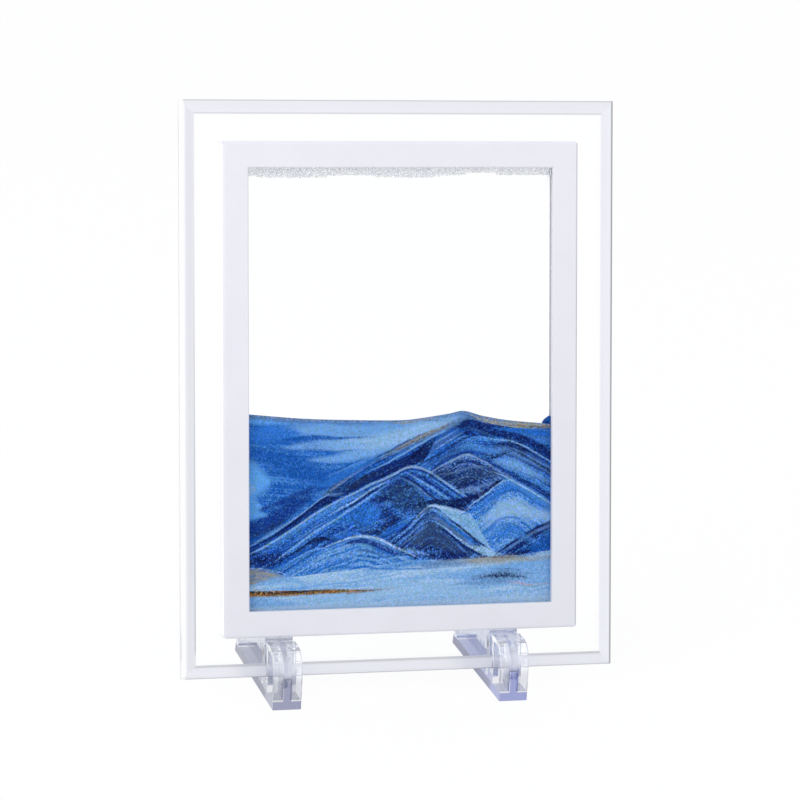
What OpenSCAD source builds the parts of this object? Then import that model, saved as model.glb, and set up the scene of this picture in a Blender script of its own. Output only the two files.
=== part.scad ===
// Moving-sand picture: a bevelled glass pane carries a sealed cell of liquid and coloured sand,
// framed in white on both faces, and stands leaning back in two clear moulded feet.
// The middle of the feet's footprint is the origin, +Z is up and the picture faces -Y.

/* [Glass pane] */
// Width of the big glass pane
pane_w = 199; // [180:1:240]
// Height of the big glass pane
pane_h = 255; // [240:1:300]
// Thickness of the big glass pane
pane_t = 5; // [4:0.5:6]
// Width of the polished bevel round the front face
bevel_w = 6.3; // [3:0.1:10]
// How far the bevel drops from the front face at the pane's edge
bevel_drop = 1.5; // [0.5:0.1:2.5]

/* [White frame] */
// Clear glass between the bevel and the white frame
glass_margin = 11.8; // [10:0.1:20]
// Width of the white frame's bars
bar_w = 11.7; // [10:0.1:16]
// How far each white frame stands proud of the pane
bar_proud = 3.8; // [3:0.1:5]
// Rounding of the frame's edges, seen in section
bar_edge_r = 1.2; // [0.5:0.1:1.4]
// Rounding of the frame's outer corners, seen from the front
bar_corner_r = 1.8; // [1.5:0.1:4]
// Rounding round the opening's front rim
rim_r = 0.7; // [0.3:0.1:0.9]
// How far the bars reach over the edge of the pane's window
bar_cover = 5.7; // [4:0.1:7]

/* [Sealed cell] */
// Thickness of each cell glass
cell_glass_t = 2; // [1.5:0.1:2.5]
// Gap between the two cell glasses, filled with liquid and sand
cell_gap = 4; // [3:0.1:5]
// How far the spacer's inner wall hides behind the frame's bars
spacer_hide = 0.4; // [0.2:0.1:1]
// Diameter of the stopper that seals the filling hole
plug_d = 2.4; // [1.5:0.1:2.6]
// Place of the filling hole, from the middle of the pane
plug_x = 45; // [-60:1:60]
// Height of the froth of bubbles under the top bar
froth_h = 4; // [2:0.5:10]
// Diameter of one scallop of the froth's lower edge
froth_scallop_d = 2.2; // [1.5:0.1:4]

/* [Feet] */
// Lean of the picture away from upright, in degrees
lean = 12; // [8:1:14]
// Width of one foot
foot_w = 12.8; // [10:0.1:18]
// Length of one foot from toe to heel
foot_l = 80; // [72:1:100]
// Distance from the toe to the pane's lower front edge
toe_l = 14.4; // [13:0.1:18]
// Height of the pane's lower front edge above the table
slot_h = 10.3; // [9:0.1:14]
// Height of the front lip above the table
lip_h = 25.8; // [24:0.1:27]
// Height of the heel at the back of the foot
heel_h = 8.5; // [7:0.1:12]
// Thickness of the foot's sole
sole_t = 4; // [2.5:0.1:5]
// Thickness of the wall round the side pockets
rim_t = 2.2; // [1.5:0.1:3]
// Thickness of the web between the side pockets
web_t = 3.4; // [2:0.1:5]
// Place of the left foot, from the middle of the pane
left_foot_place = 55; // [30:1:80]
// Place of the right foot, from the middle of the pane
right_foot_place = 49; // [30:1:80]

/* [Hidden] */
$fn = 64;

// How far a cutting shape reaches past what it cuts
past = 1;
clearance = 0.3;
adhesive_t = 0.3;
adhesive_inset = 0.8;

// Sizes of the frame, the opening, the window cut in the pane and the cell
frame_inset = bevel_w + glass_margin;
frame_w = pane_w - 2 * frame_inset;
frame_h = pane_h - 2 * frame_inset;
opening_w = frame_w - 2 * bar_w;
opening_h = frame_h - 2 * bar_w;
window_w = frame_w - 2 * bar_cover;
window_h = frame_h - 2 * bar_cover;
cell_w = window_w - 2 * clearance;
cell_h = window_h - 2 * clearance;
hollow_w = opening_w + 2 * spacer_hide;
hollow_h = opening_h + 2 * spacer_hide;
hollow_half = hollow_w / 2;
hollow_floor = (pane_h - hollow_h) / 2;
hollow_roof = hollow_floor + hollow_h;
gap_front = (pane_t - cell_gap) / 2;
gap_back = gap_front + cell_gap;
glass_front = gap_front - cell_glass_t;

// Foot outline, with s measured back from the toe and z up from the table
slot_front = [toe_l - clearance * cos(lean), slot_h + clearance * sin(lean)];
slot_back = [toe_l + pane_t * cos(lean), slot_h - pane_t * sin(lean)];
// The rear jaw ends just below the rear frame
jaw_rise = frame_inset - 0.5;
jaw_top_t = 3;
jaw_foot_t = 4;
jaw_spread = 3;
jaw_top = slot_back + jaw_rise * [sin(lean), cos(lean)];
jaw_back = jaw_top + jaw_top_t * [cos(lean), -sin(lean)];
lip_front_h = 15;
lip_round = [9, lip_h - lip_front_h];
lip_back = [slot_front.x + (lip_h - slot_front.y) * tan(lean), lip_h];
heel_lean = 1.5;
heel_r = 2;
lip_edge_r = 0.8;
pocket_r = 1.6;
pocket_taper = 1;
pocket_drop = 0.5;

// ---- sand ridges: [distance from the middle, height above the pane's lower edge] ----
ridge_bed = [[-71, 41], [-52, 44], [-20, 47], [5, 50], [30, 50], [50, 51], [71, 53]];
ridge_beige = [[-71, 47.5], [-64, 48.4], [-56, 46], [-48, 41], [-40, 30]];
ridge_wave = [[-71, 36], [-54, 46], [-37, 56], [-26, 60], [-16, 62], [-8, 59], [0, 54], [12, 47], [22, 38]];
ridge_dark_peak = [[-26, 42], [-14, 53], [0, 64], [10, 72], [14.5, 74], [19, 72], [28, 64], [37, 56],
                   [46, 44]];
ridge_right_dune = [[30, 40], [43, 51], [52, 57], [61, 62], [71, 67]];
ridge_saddle = [[-4, 52], [8, 70], [14, 75], [22, 74], [31, 72], [40, 58], [48, 44]];
ridge_bright = [[16, 60], [31, 73], [41, 80], [47, 84.8], [51, 85.6], [56, 83.5], [63, 78.5], [71, 72.5]];
ridge_mound = [[-71, 54], [-50, 66], [-30, 78], [-14, 85], [-4, 89], [4, 92.6], [9, 92.2], [18, 87],
               [30, 79], [40, 70], [52, 60]];
ridge_third = [[-20, 70], [-4, 80], [12, 89], [22, 94], [31, 97.4], [36, 96], [50, 88], [71, 74.5]];
ridge_second = [[-40, 62], [-20, 76], [0, 89], [14, 98], [25, 104.5], [37, 105.5], [51, 103.5], [59, 100],
                [71, 93]];
ridge_main = [[-71, 57.5], [-54, 67], [-33, 81], [-16, 92], [0, 99.4], [12, 105], [23, 110.3], [30, 114],
              [38, 111.5], [51, 109], [71, 106.5]];
ridge_crest = [[-71, 57.8], [-40, 76], [-30, 85.5], [-16, 93.4], [0, 101.2], [12, 106.6], [23, 111.6],
               [28, 113.8], [34, 112.6], [46, 107]];
ridge_surface = [[-71, 116], [-44, 113.4], [-19, 112.3], [0, 111.9], [9, 112.5], [23, 114.3],
                 [30, 115.4], [38, 111.6], [46, 109.4], [58, 107.4], [71, 106]];
ridge_veil = [[-71, 116.9], [-44, 114.3], [-19, 113.2], [0, 112.8], [9, 113.4], [23, 115.3],
              [30, 116.5], [38, 114.3], [50, 112], [64, 110.5], [71, 110]];
ridge_pile = [[60, 106], [65.5, 109.5], [68, 112.2], [71, 114.2]];
seam_l = 58;
seam_h = 2.3;
seam_v = 37.3;
ridge_steps = 4;

// Unevenness of the froth's scallops, as a share of their size and a turn in degrees from each to the next
froth_uneven = 0.2;
froth_turn = 97;

// Point on a smooth line through the key points a, b, c, d, between b and c
function spline(a, b, c, d, t) =
    0.5 * (2 * b + (c - a) * t + (2 * a - 5 * b + 4 * c - d) * t * t
           + (3 * b - 3 * c + d - a) * t * t * t);

// Smooth line through all the key points
function smooth(p) = [
    for (i = [0 : len(p) - 2], k = [0 : ridge_steps - 1])
        spline(p[max(i - 1, 0)], p[i], p[i + 1], p[min(i + 2, len(p) - 1)], k / ridge_steps),
    p[len(p) - 1]
];

// Arc of an ellipse from angle a to angle b
function arc(centre, radii, a, b, steps = 12) = [
    for (k = [0 : steps])
        centre + [radii.x * cos(a + (b - a) * k / steps), radii.y * sin(a + (b - a) * k / steps)]
];

// ---- shared shapes ----

// Puts a piece drawn on the upright pane into the leaning pane's place
module leaning() {
    translate([0, toe_l - foot_l / 2, slot_h]) rotate([-lean, 0, 0]) children();
}

// Upright slab centred on the pane, from depth y0 back to y1
module slab(w, h, y0, y1) {
    translate([-w / 2, y0, (pane_h - h) / 2]) cube([w, y1 - y0, h]);
}

// Section of a slab with its two front edges rounded, across a width w
module rounded_section(w, y0, y1, r) {
    polygon(concat([[-w / 2, y1]],
                   arc([-w / 2 + r, y0 + r], [r, r], 180, 270, 8),
                   arc([w / 2 - r, y0 + r], [r, r], 270, 360, 8),
                   [[w / 2, y1]]));
}

// Section of a hole whose front rim flares out with a radius r
module flared_section(w, y0, y1, r) {
    polygon(concat([[-w / 2 - r, y0 - past]],
                   arc([-w / 2 - r, y0 + r], [r, r], 270, 360, 6),
                   [[-w / 2, y1], [w / 2, y1]],
                   arc([w / 2 + r, y0 + r], [r, r], 180, 270, 6),
                   [[w / 2 + r, y0 - past]]));
}

// Carries the first section up the pane and the second one across it, and keeps what both share
module crossed() {
    translate([0, 0, pane_h / 2]) intersection() {
        linear_extrude(2 * pane_h, center = true) children(0);
        rotate([0, -90, 0]) linear_extrude(2 * pane_h, center = true) children(1);
    }
}

// Face of the sheet of glass or frame drawn in X and Z, made solid from depth y0 back to y1
module sheet(y0, y1) {
    translate([0, y1, 0]) rotate([90, 0, 0]) linear_extrude(y1 - y0) children();
}

// Rectangle with round corners in X and Z, centred on the pane
module round_face(w, h, r) {
    translate([-w / 2, (pane_h - h) / 2]) union() {
        translate([r, 0]) square([w - 2 * r, h]);
        translate([0, r]) square([w, h - 2 * r]);
        for (x = [r, w - r], z = [r, h - r]) translate([x, z]) circle(r);
    }
}

// ---- pane, frames and cell ----

// One wedge that cuts the bevel along an edge of length l
module bevel_wedge(l) {
    translate([-l / 2, 0, 0]) rotate([90, 0, 90]) linear_extrude(l)
        polygon([[-past, -past], [-past, bevel_w * (1 + past / bevel_drop)], [0, bevel_w], [bevel_drop, 0],
                 [bevel_drop, -past]]);
}

module glass_pane() {
    color([0.86, 0.93, 0.95, 0.35]) leaning() difference() {
        slab(pane_w, pane_h, 0, pane_t);
        slab(window_w, window_h, -past, pane_t + past);
        translate([0, 0, pane_h / 2]) for (turn = [0 : 90 : 270]) {
            reach = turn % 180 == 0 ? pane_h / 2 : pane_w / 2;
            rotate([0, turn, 0]) translate([0, 0, -reach]) bevel_wedge(pane_h + 2 * past);
        }
    }
}

// White frame on the front face, with a rebate at the back of its lip for the cell glass
module frame() {
    difference() {
        intersection() {
            crossed() {
                rounded_section(frame_w, -bar_proud, -adhesive_t, bar_edge_r);
                rounded_section(frame_h, -bar_proud, -adhesive_t, bar_edge_r);
            }
            sheet(-bar_proud - past, past) round_face(frame_w, frame_h, bar_corner_r);
        }
        crossed() {
            flared_section(opening_w, -bar_proud, past, rim_r);
            flared_section(opening_h, -bar_proud, past, rim_r);
        }
        slab(window_w, window_h, glass_front, past);
    }
}

// Ring of clear double-sided adhesive between a frame and the pane
module adhesive_ring() {
    difference() {
        slab(frame_w - 2 * adhesive_inset, frame_h - 2 * adhesive_inset, -adhesive_t, 0);
        slab(window_w + 2 * adhesive_inset, window_h + 2 * adhesive_inset, -past, past);
    }
}

// Copy of a front piece on the back of the pane
module on_back() {
    translate([0, pane_t, 0]) mirror([0, 1, 0]) children();
}

module front_frame() {
    color([0.93, 0.93, 0.96]) leaning() frame();
}

module rear_frame() {
    color([0.93, 0.93, 0.96]) leaning() on_back() frame();
}

module front_adhesive_ring() {
    color([0.9, 0.9, 0.88, 0.6]) leaning() adhesive_ring();
}

module rear_adhesive_ring() {
    color([0.9, 0.9, 0.88, 0.6]) leaning() on_back() adhesive_ring();
}

module front_cell_glass() {
    color([0.88, 0.94, 0.96, 0.3]) leaning() slab(cell_w, cell_h, glass_front, gap_front);
}

module rear_cell_glass() {
    color([0.88, 0.94, 0.96, 0.3]) leaning() on_back() slab(cell_w, cell_h, glass_front, gap_front);
}

// Axis of the filling hole, up through the spacer's top bar
module at_plug() {
    translate([plug_x, pane_t / 2, hollow_roof]) children();
}

module cell_spacer() {
    color([0.9, 0.9, 0.93]) leaning() difference() {
        slab(cell_w, cell_h, gap_front, gap_back);
        slab(hollow_w, hollow_h, gap_front - past, gap_back + past);
        at_plug() translate([0, 0, -past]) cylinder(d = plug_d, h = bar_w);
    }
}

module filling_plug() {
    color([0.75, 0.75, 0.78]) leaning() at_plug() cylinder(d = plug_d, h = (cell_h - hollow_h) / 2);
}

// ---- what the cell holds ----

// All that lies under a ridge line, inside the cell's hollow
module under(ridge) {
    line = smooth(ridge);
    intersection() {
        polygon(concat([[line[0].x, 0]], line, [[line[len(line) - 1].x, 0]]));
        translate([-hollow_half, hollow_floor]) square([hollow_w, hollow_h]);
    }
}

// One layer of sand: what lies under its own ridge and above the layers beneath it
module stratum(ridge, beneath = []) {
    leaning() sheet(gap_front, gap_back) difference() {
        under(ridge);
        for (lower = beneath) under(lower);
    }
}

// Long thin lens of gold sand inside the bed, cut off by the left wall
module gold_lens() {
    tip = -hollow_half + seam_l;
    polygon([[-hollow_half, seam_v - seam_h / 2], [-hollow_half, seam_v + seam_h / 2],
             [tip - seam_l / 3, seam_v + seam_h / 3], [tip, seam_v],
             [tip - seam_l / 3, seam_v - seam_h / 3]]);
}

// Band of bubbles under the top bar, with a scalloped lower edge
module froth_face() {
    count = floor(hollow_w / froth_scallop_d);
    pitch = hollow_w / count;
    translate([-hollow_half, hollow_roof - froth_h]) square([hollow_w, froth_h]);
    intersection() {
        for (i = [0 : count - 1])
            translate([-hollow_half + (i + 0.5) * pitch, hollow_roof - froth_h])
                circle(d = froth_scallop_d * (1 + froth_uneven * (sin(i * froth_turn) - 1)), $fn = 24);
        translate([-hollow_half, hollow_floor]) square([hollow_w, hollow_h]);
    }
}

module clear_liquid() {
    color([0.95, 0.97, 1, 0.2]) leaning() sheet(gap_front, gap_back) difference() {
        translate([-hollow_half, hollow_floor]) square([hollow_w, hollow_h]);
        froth_face();
        under(ridge_veil);
        under(ridge_pile);
    }
}

module bubble_froth() {
    color([0.85, 0.86, 0.9, 0.8]) leaning() sheet(gap_front, gap_back) froth_face();
}

module sand_bed() {
    color([0.5, 0.72, 0.9]) leaning() sheet(gap_front, gap_back) difference() {
        under(ridge_bed);
        gold_lens();
    }
}

module sand_gold_seam() {
    color([0.55, 0.42, 0.18]) leaning() sheet(gap_front, gap_back) gold_lens();
}

layer_1 = [ridge_bed];
layer_2 = concat(layer_1, [ridge_beige]);
layer_3 = concat(layer_2, [ridge_wave]);
layer_4 = concat(layer_3, [ridge_dark_peak]);
layer_5 = concat(layer_4, [ridge_right_dune]);
layer_6 = concat(layer_5, [ridge_saddle]);
layer_7 = concat(layer_6, [ridge_bright]);
layer_8 = concat(layer_7, [ridge_mound]);
layer_9 = concat(layer_8, [ridge_third]);
layer_10 = concat(layer_9, [ridge_second]);
layer_11 = concat(layer_10, [ridge_main]);
layer_12 = concat(layer_11, [ridge_crest]);
layer_13 = concat(layer_12, [ridge_surface]);
layer_14 = concat(layer_13, [ridge_veil]);

module sand_beige_mound() {
    color([0.68, 0.66, 0.6]) stratum(ridge_beige, layer_1);
}

module sand_wave_dune() {
    color([0.35, 0.58, 0.86]) stratum(ridge_wave, layer_2);
}

module sand_dark_peak() {
    color([0.16, 0.22, 0.38]) stratum(ridge_dark_peak, layer_3);
}

module sand_right_dune() {
    color([0.12, 0.26, 0.55]) stratum(ridge_right_dune, layer_4);
}

module sand_pale_saddle() {
    color([0.62, 0.78, 0.92]) stratum(ridge_saddle, layer_5);
}

module sand_bright_mountain() {
    color([0.3, 0.6, 0.9]) stratum(ridge_bright, layer_6);
}

module sand_banded_mound() {
    color([0.12, 0.3, 0.62]) stratum(ridge_mound, layer_7);
}

module sand_third_mountain() {
    color([0.2, 0.3, 0.52]) stratum(ridge_third, layer_8);
}

module sand_second_ridge() {
    color([0.16, 0.34, 0.68]) stratum(ridge_second, layer_9);
}

module sand_main_ridge() {
    color([0.08, 0.18, 0.45]) stratum(ridge_main, layer_10);
}

module sand_crest_seam() {
    color([0.5, 0.42, 0.3]) stratum(ridge_crest, layer_11);
}

module sand_left_wedge() {
    color([0.22, 0.5, 0.85]) stratum(ridge_surface, layer_12);
}

module sand_surface_veil() {
    color([0.52, 0.5, 0.5]) stratum(ridge_veil, layer_13);
}

module sand_corner_pile() {
    color([0.1, 0.16, 0.4]) stratum(ridge_pile, layer_14);
}

// ---- feet ----

// Side outline of a foot: sole, rounded front lip, leaning slot, rear jaw and sloping back
module foot_outline() {
    polygon(concat([[0, 0], [0, lip_front_h]],
                   arc([lip_round.x, lip_front_h], lip_round, 180, 90),
                   arc(lip_back - [lip_edge_r, lip_edge_r], [lip_edge_r, lip_edge_r], 90, 0, 4),
                   [slot_front, slot_back, jaw_top, jaw_back],
                   arc([foot_l - heel_lean - heel_r, heel_h - heel_r], [heel_r, heel_r], 70, 0, 6),
                   [[foot_l, 0]]));
}

// Pocket under the lip, with its wall following the lip's curve
module front_pocket() {
    back = slot_front.x - rim_t;
    top_back = lip_back.x - rim_t - pocket_taper;
    polygon(concat([[rim_t, sole_t], [rim_t, lip_front_h]],
                   arc([lip_round.x, lip_front_h], lip_round - [rim_t, rim_t], 180, 90),
                   [[top_back, lip_h - rim_t], [back, slot_h], [back, sole_t]]));
}

// Long tapering pocket behind the rear jaw, with rounded corners
module rear_pocket() {
    jaw_foot = slot_back.x + jaw_foot_t;
    slope = atan((jaw_back.y - heel_h) / (foot_l - jaw_back.x));
    top = [jaw_foot + jaw_spread, jaw_back.y - rim_t - jaw_spread];
    tail = [foot_l - heel_lean - 2 * rim_t, sole_t + pocket_r];
    polygon(concat(arc([jaw_foot + pocket_r, sole_t + pocket_r], [pocket_r, pocket_r], 270, 180, 6),
                   arc(top + [pocket_r, -pocket_drop], [pocket_r, pocket_r], 180, 90 - slope, 6),
                   arc(tail - [pocket_r, 0], [pocket_r, pocket_r], 90 - slope, -90, 8)));
}

module foot() {
    pocket_depth = (foot_w - web_t) / 2;
    translate([foot_w / 2, -foot_l / 2, 0]) rotate([90, 0, -90]) mirror([1, 0, 0]) difference() {
        linear_extrude(foot_w) foot_outline();
        for (z = [-past, foot_w - pocket_depth]) translate([0, 0, z]) linear_extrude(pocket_depth + past) {
            front_pocket();
            rear_pocket();
        }
    }
}

module left_foot() {
    color([0.8, 0.82, 0.92, 0.6]) translate([-left_foot_place, 0, 0]) foot();
}

module right_foot() {
    color([0.8, 0.82, 0.92, 0.6]) translate([right_foot_place, 0, 0]) foot();
}

glass_pane();
front_frame();
rear_frame();
front_adhesive_ring();
rear_adhesive_ring();
front_cell_glass();
rear_cell_glass();
cell_spacer();
filling_plug();
clear_liquid();
bubble_froth();
sand_bed();
sand_gold_seam();
sand_beige_mound();
sand_wave_dune();
sand_dark_peak();
sand_right_dune();
sand_pale_saddle();
sand_bright_mountain();
sand_banded_mound();
sand_third_mountain();
sand_second_ridge();
sand_main_ridge();
sand_crest_seam();
sand_left_wedge();
sand_surface_veil();
sand_corner_pile();
left_foot();
right_foot();
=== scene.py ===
"""Looks of the moving-sand picture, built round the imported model.

The middle of the feet's footprint is the origin, +Z is up and the picture faces -Y. Lengths are in metres unless a
name or a comment says millimetres. Points on the picture are given as on the upright pane: across from its middle, then
up from its lower edge, in millimetres."""

import math
import random
from collections import namedtuple

import bmesh
import bpy
import numpy as np
from bpy.props import FloatProperty, FloatVectorProperty, IntProperty, PointerProperty
from mathutils import Matrix, Vector


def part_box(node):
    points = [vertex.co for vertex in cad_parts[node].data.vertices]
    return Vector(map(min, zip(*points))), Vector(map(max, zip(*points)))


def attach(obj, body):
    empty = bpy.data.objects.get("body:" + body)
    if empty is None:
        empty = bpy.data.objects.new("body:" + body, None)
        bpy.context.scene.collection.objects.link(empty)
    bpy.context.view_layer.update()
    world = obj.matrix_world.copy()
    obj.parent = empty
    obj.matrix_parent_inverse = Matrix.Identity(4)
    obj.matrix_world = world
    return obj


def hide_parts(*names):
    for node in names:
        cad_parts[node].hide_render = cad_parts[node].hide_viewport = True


bl_info = {
    "name": "Moving sand picture",
    "version": (1, 0, 0),
    "blender": (4, 5, 0),
    "location": "View3D > Sidebar > Sand Picture",
    "description": "Dresses a framed moving-sand picture and its stage",
    "category": "Object",
}

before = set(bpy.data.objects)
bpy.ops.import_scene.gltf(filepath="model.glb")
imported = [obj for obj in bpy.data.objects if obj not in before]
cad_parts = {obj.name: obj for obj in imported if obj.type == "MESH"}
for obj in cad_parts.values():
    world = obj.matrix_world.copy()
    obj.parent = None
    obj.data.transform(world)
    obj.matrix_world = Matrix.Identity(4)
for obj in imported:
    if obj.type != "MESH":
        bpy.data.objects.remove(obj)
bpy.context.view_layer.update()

MM = 0.001
LEAN = math.radians(12)
PANE_FOOT = Vector((0, -25.6 * MM, 10.3 * MM))
UPRIGHT_TO_LEANING = Matrix.Translation(PANE_FOOT) @ Matrix.Rotation(-LEAN, 4, "X")

# The pane and the cell, in millimetres on the upright pane; depths run back from the pane's front face
PANE_W, PANE_H, PANE_T = 199.0, 255.0, 5.0
BEVEL_W, BEVEL_DROP = 6.3, 1.5
WINDOW_W, WINDOW_H = 151.4, 207.4
CELL_W, CELL_H = 150.8, 206.8
FRAME_W = 162.8
CELL_FRONT = (-1.5, 0.5)
CELL_BACK = (4.5, 6.5)
HOLLOW_HALF, HOLLOW_ROOF = 70.1, 225.6


def srgb(red, green, blue):
    """Linear colour of an sRGB colour given in steps of 255."""
    return tuple(
        c / 12.92 if c <= 0.04045 else ((c + 0.055) / 1.055) ** 2.4
        for c in (red / 255, green / 255, blue / 255)
    )


BLACK, WHITE = (0.0, 0.0, 0.0), (1.0, 1.0, 1.0)


# ---- what a user would change ----


class GlassSettings(bpy.types.PropertyGroup):
    """Bevelled pane and cell glass"""

    tint: FloatVectorProperty(
        name="Glass tint", description="Colour of light that has passed one face of the glass",
        subtype="COLOR", default=(0.998, 1.0, 0.999), min=0, max=1,
    )
    bevel: FloatVectorProperty(
        name="Bevel tint", description="Tint of the bevel band round the pane",
        subtype="COLOR", default=(0.99, 0.995, 1.05), min=0, max=2,
    )
    edge: FloatVectorProperty(
        name="Edge colour", description="Colour seen in the pane's ground edges",
        subtype="COLOR", default=srgb(190, 192, 198), min=0, max=1,
    )
    arris: FloatProperty(
        name="Arris", description="Width of the small chamfer along the pane's edges",
        unit="LENGTH", default=0.45 * MM, min=0, max=1 * MM,
    )
    ior: FloatProperty(name="Index of refraction", description="Of the glass", default=1.5, min=1, max=2)


class PlasticSettings(bpy.types.PropertyGroup):
    """White frames, spacer and stopper"""

    white: FloatVectorProperty(
        name="Frame colour", description="Colour of the white frames",
        subtype="COLOR", default=srgb(240, 240, 247), min=0, max=1,
    )
    roughness: FloatProperty(
        name="Frame roughness", description="How satin the white frames are", default=0.42, min=0, max=1,
    )


class SandSettings(bpy.types.PropertyGroup):
    """Sand strata"""

    grain: FloatProperty(
        name="Grain size", description="Size of one grain of sand", unit="LENGTH",
        default=0.5 * MM, min=0.1 * MM, max=1 * MM,
    )
    glitter: FloatProperty(
        name="Light grains", description="Share of grains that are much lighter than the rest", default=0.025,
        min=0, max=1, subtype="FACTOR",
    )
    wander: FloatProperty(
        name="Wander", description="How far the strata wander from smooth lines", unit="LENGTH",
        default=0.5 * MM, min=0, max=2 * MM,
    )


class FrothSettings(bpy.types.PropertyGroup):
    """Bubbles under the top bar"""

    bubble: FloatProperty(
        name="Bubble size", description="Usual diameter of a bubble", unit="LENGTH", default=1.45 * MM,
        min=0.5 * MM, max=3 * MM,
    )
    seed: IntProperty(name="Seed", description="Changes where the bubbles lie", default=7, min=0)
    film: FloatVectorProperty(
        name="Film colour", description="Colour of the bubbles' film", subtype="COLOR",
        default=(0.97, 0.973, 0.985), min=0, max=1,
    )


class FootSettings(bpy.types.PropertyGroup):
    """Clear moulded feet"""

    tint: FloatVectorProperty(
        name="Moulding tint", description="Colour of light that has passed two faces of a foot",
        subtype="COLOR", default=(0.63, 0.65, 0.75), min=0, max=1,
    )
    rounding: FloatProperty(
        name="Edge rounding", description="Radius of the feet's edges", unit="LENGTH", default=0.35 * MM,
        min=0, max=1 * MM,
    )
    ior: FloatProperty(name="Index of refraction", description="Of the moulding", default=1.49, min=1, max=2)


class StageSettings(bpy.types.PropertyGroup):
    """Floor, light and camera"""

    light: FloatProperty(
        name="Surrounding light", description="Strength of the even light from all round", default=0.84,
        min=0, max=2,
    )
    key: FloatProperty(
        name="Soft box power", description="Power of the soft box on the left", unit="POWER", default=9.0, min=0,
    )
    side: FloatProperty(
        name="Side box power", description="Power of the soft box beside the picture", unit="POWER", default=2.0,
        min=0,
    )
    focal: FloatProperty(
        name="Focal length", description="Camera's focal length in millimetres", default=162.37, min=1,
    )
    distance: FloatProperty(
        name="Camera distance", description="From the camera to the middle of its view", unit="LENGTH",
        default=1.58219, min=0.1,
    )
    azimuth: FloatProperty(
        name="Camera azimuth", description="Turn of the camera round the picture", subtype="ANGLE",
        default=math.radians(-15.6),
    )
    elevation: FloatProperty(
        name="Camera elevation", description="Height of the camera as an angle", subtype="ANGLE",
        default=math.radians(15.4),
    )
    roll: FloatProperty(
        name="Camera roll", description="Tilt of the camera about its view", subtype="ANGLE",
        default=math.radians(3.22),
    )


class SandPictureSettings(bpy.types.PropertyGroup):
    """All settings of the moving-sand picture"""

    glass: PointerProperty(type=GlassSettings)
    plastic: PointerProperty(type=PlasticSettings)
    sand: PointerProperty(type=SandSettings)
    froth: PointerProperty(type=FrothSettings)
    foot: PointerProperty(type=FootSettings)
    stage: PointerProperty(type=StageSettings)


def settings():
    return bpy.context.scene.sand_picture


# ---- shader nodes ----


class Wire:
    """An output socket of a node tree. Arithmetic on it adds Math nodes."""

    def __init__(self, tree, socket):
        self.tree, self.socket = tree, socket

    def math(self, operation, *others, clamp=False):
        return self.tree.math(operation, self, *others, clamp=clamp)

    def __add__(self, other):
        return self.math("ADD", other)

    def __radd__(self, other):
        return self.tree.math("ADD", other, self)

    def __sub__(self, other):
        return self.math("SUBTRACT", other)

    def __rsub__(self, other):
        return self.tree.math("SUBTRACT", other, self)

    def __mul__(self, other):
        return self.math("MULTIPLY", other)

    def __rmul__(self, other):
        return self.tree.math("MULTIPLY", other, self)

    def __truediv__(self, other):
        return self.math("DIVIDE", other)

    def __gt__(self, other):
        return self.math("GREATER_THAN", other)

    def clamped(self):
        return self.math("ADD", 0.0, clamp=True)

    def distance(self, other):
        return (self - other).math("ABSOLUTE")


class Nodes:
    """The node tree of a material or the world, emptied and filled by calls."""

    def __init__(self, owner):
        owner.use_nodes = True
        self.tree = owner.node_tree
        self.tree.nodes.clear()

    def node(self, kind, settings=None, sockets=None, output=0):
        """Adds a node of a type, sets its settings, then its sockets, and gives one output."""
        made = self.tree.nodes.new("ShaderNode" + kind)
        for name, value in (settings or {}).items():
            if name == "stops":
                self.set_stops(made.color_ramp, value)
            elif name == "points":
                self.set_points(made.mapping, value)
            else:
                setattr(made, name, value)
        for name, value in (sockets or {}).items():
            if isinstance(value, Wire):
                self.tree.links.new(value.socket, made.inputs[name])
            else:
                made.inputs[name].default_value = value
        return Wire(self, made.outputs[output]) if len(made.outputs) else made

    def set_stops(self, ramp, stops):
        for place, _ in stops[2:]:
            ramp.elements.new(place)
        for element, (place, colour) in zip(ramp.elements, stops):
            element.position = place
            element.color = (*colour, 1)

    def set_points(self, mapping, points):
        curve = mapping.curves[0]
        for point in points[2:]:
            curve.points.new(*point)
        for made, place in zip(curve.points, points):
            made.location = place
        mapping.update()

    def math(self, operation, *values, clamp=False):
        return self.node("Math", {"operation": operation, "use_clamp": clamp}, dict(enumerate(values)))

    def mix(self, factor, first, second):
        """Mixes two colours."""
        return self.node("Mix", {"data_type": "RGBA"}, {0: factor, 6: colour4(first), 7: colour4(second)}, 2)

    def mix_shaders(self, factor, first, second):
        return self.node("MixShader", {}, {0: factor, 1: first, 2: second})

    def smooth(self, value, start, end):
        """0 at start, 1 at end, with a smooth step between."""
        return self.node(
            "MapRange", {"interpolation_type": "SMOOTHSTEP"}, {"Value": value, "From Min": start, "From Max": end}
        )

    def noise(self, vector, scale, detail=2.0, roughness=0.5, output="Fac"):
        return self.node(
            "TexNoise", {}, {"Vector": vector, "Scale": scale, "Detail": detail, "Roughness": roughness}, output
        )

    def vector(self, operation, first, second):
        return self.node("VectorMath", {"operation": operation}, {0: first, 1: second})

    def scaled(self, vector, factor):
        return self.node("VectorMath", {"operation": "SCALE"}, {0: vector, "Scale": factor})

    def joined(self, x, y, z):
        return self.node("CombineXYZ", {}, {0: x, 1: y, 2: z})

    def parts(self, vector):
        """The three numbers of a vector."""
        split = self.node("SeparateXYZ", {}, {0: vector}).socket.node
        return [Wire(self, number) for number in split.outputs]

    def principled(self, **sockets):
        """The shader, with its sockets' names written with underscores."""
        return self.node("BsdfPrincipled", {}, {name.replace("_", " "): v for name, v in sockets.items()})

    def show(self, shader):
        self.node("OutputMaterial", {}, {"Surface": shader})


def colour4(value):
    return value if isinstance(value, Wire) else (*value, 1)


def new_material(name):
    material = bpy.data.materials.new(name)
    return material, Nodes(material)


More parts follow.
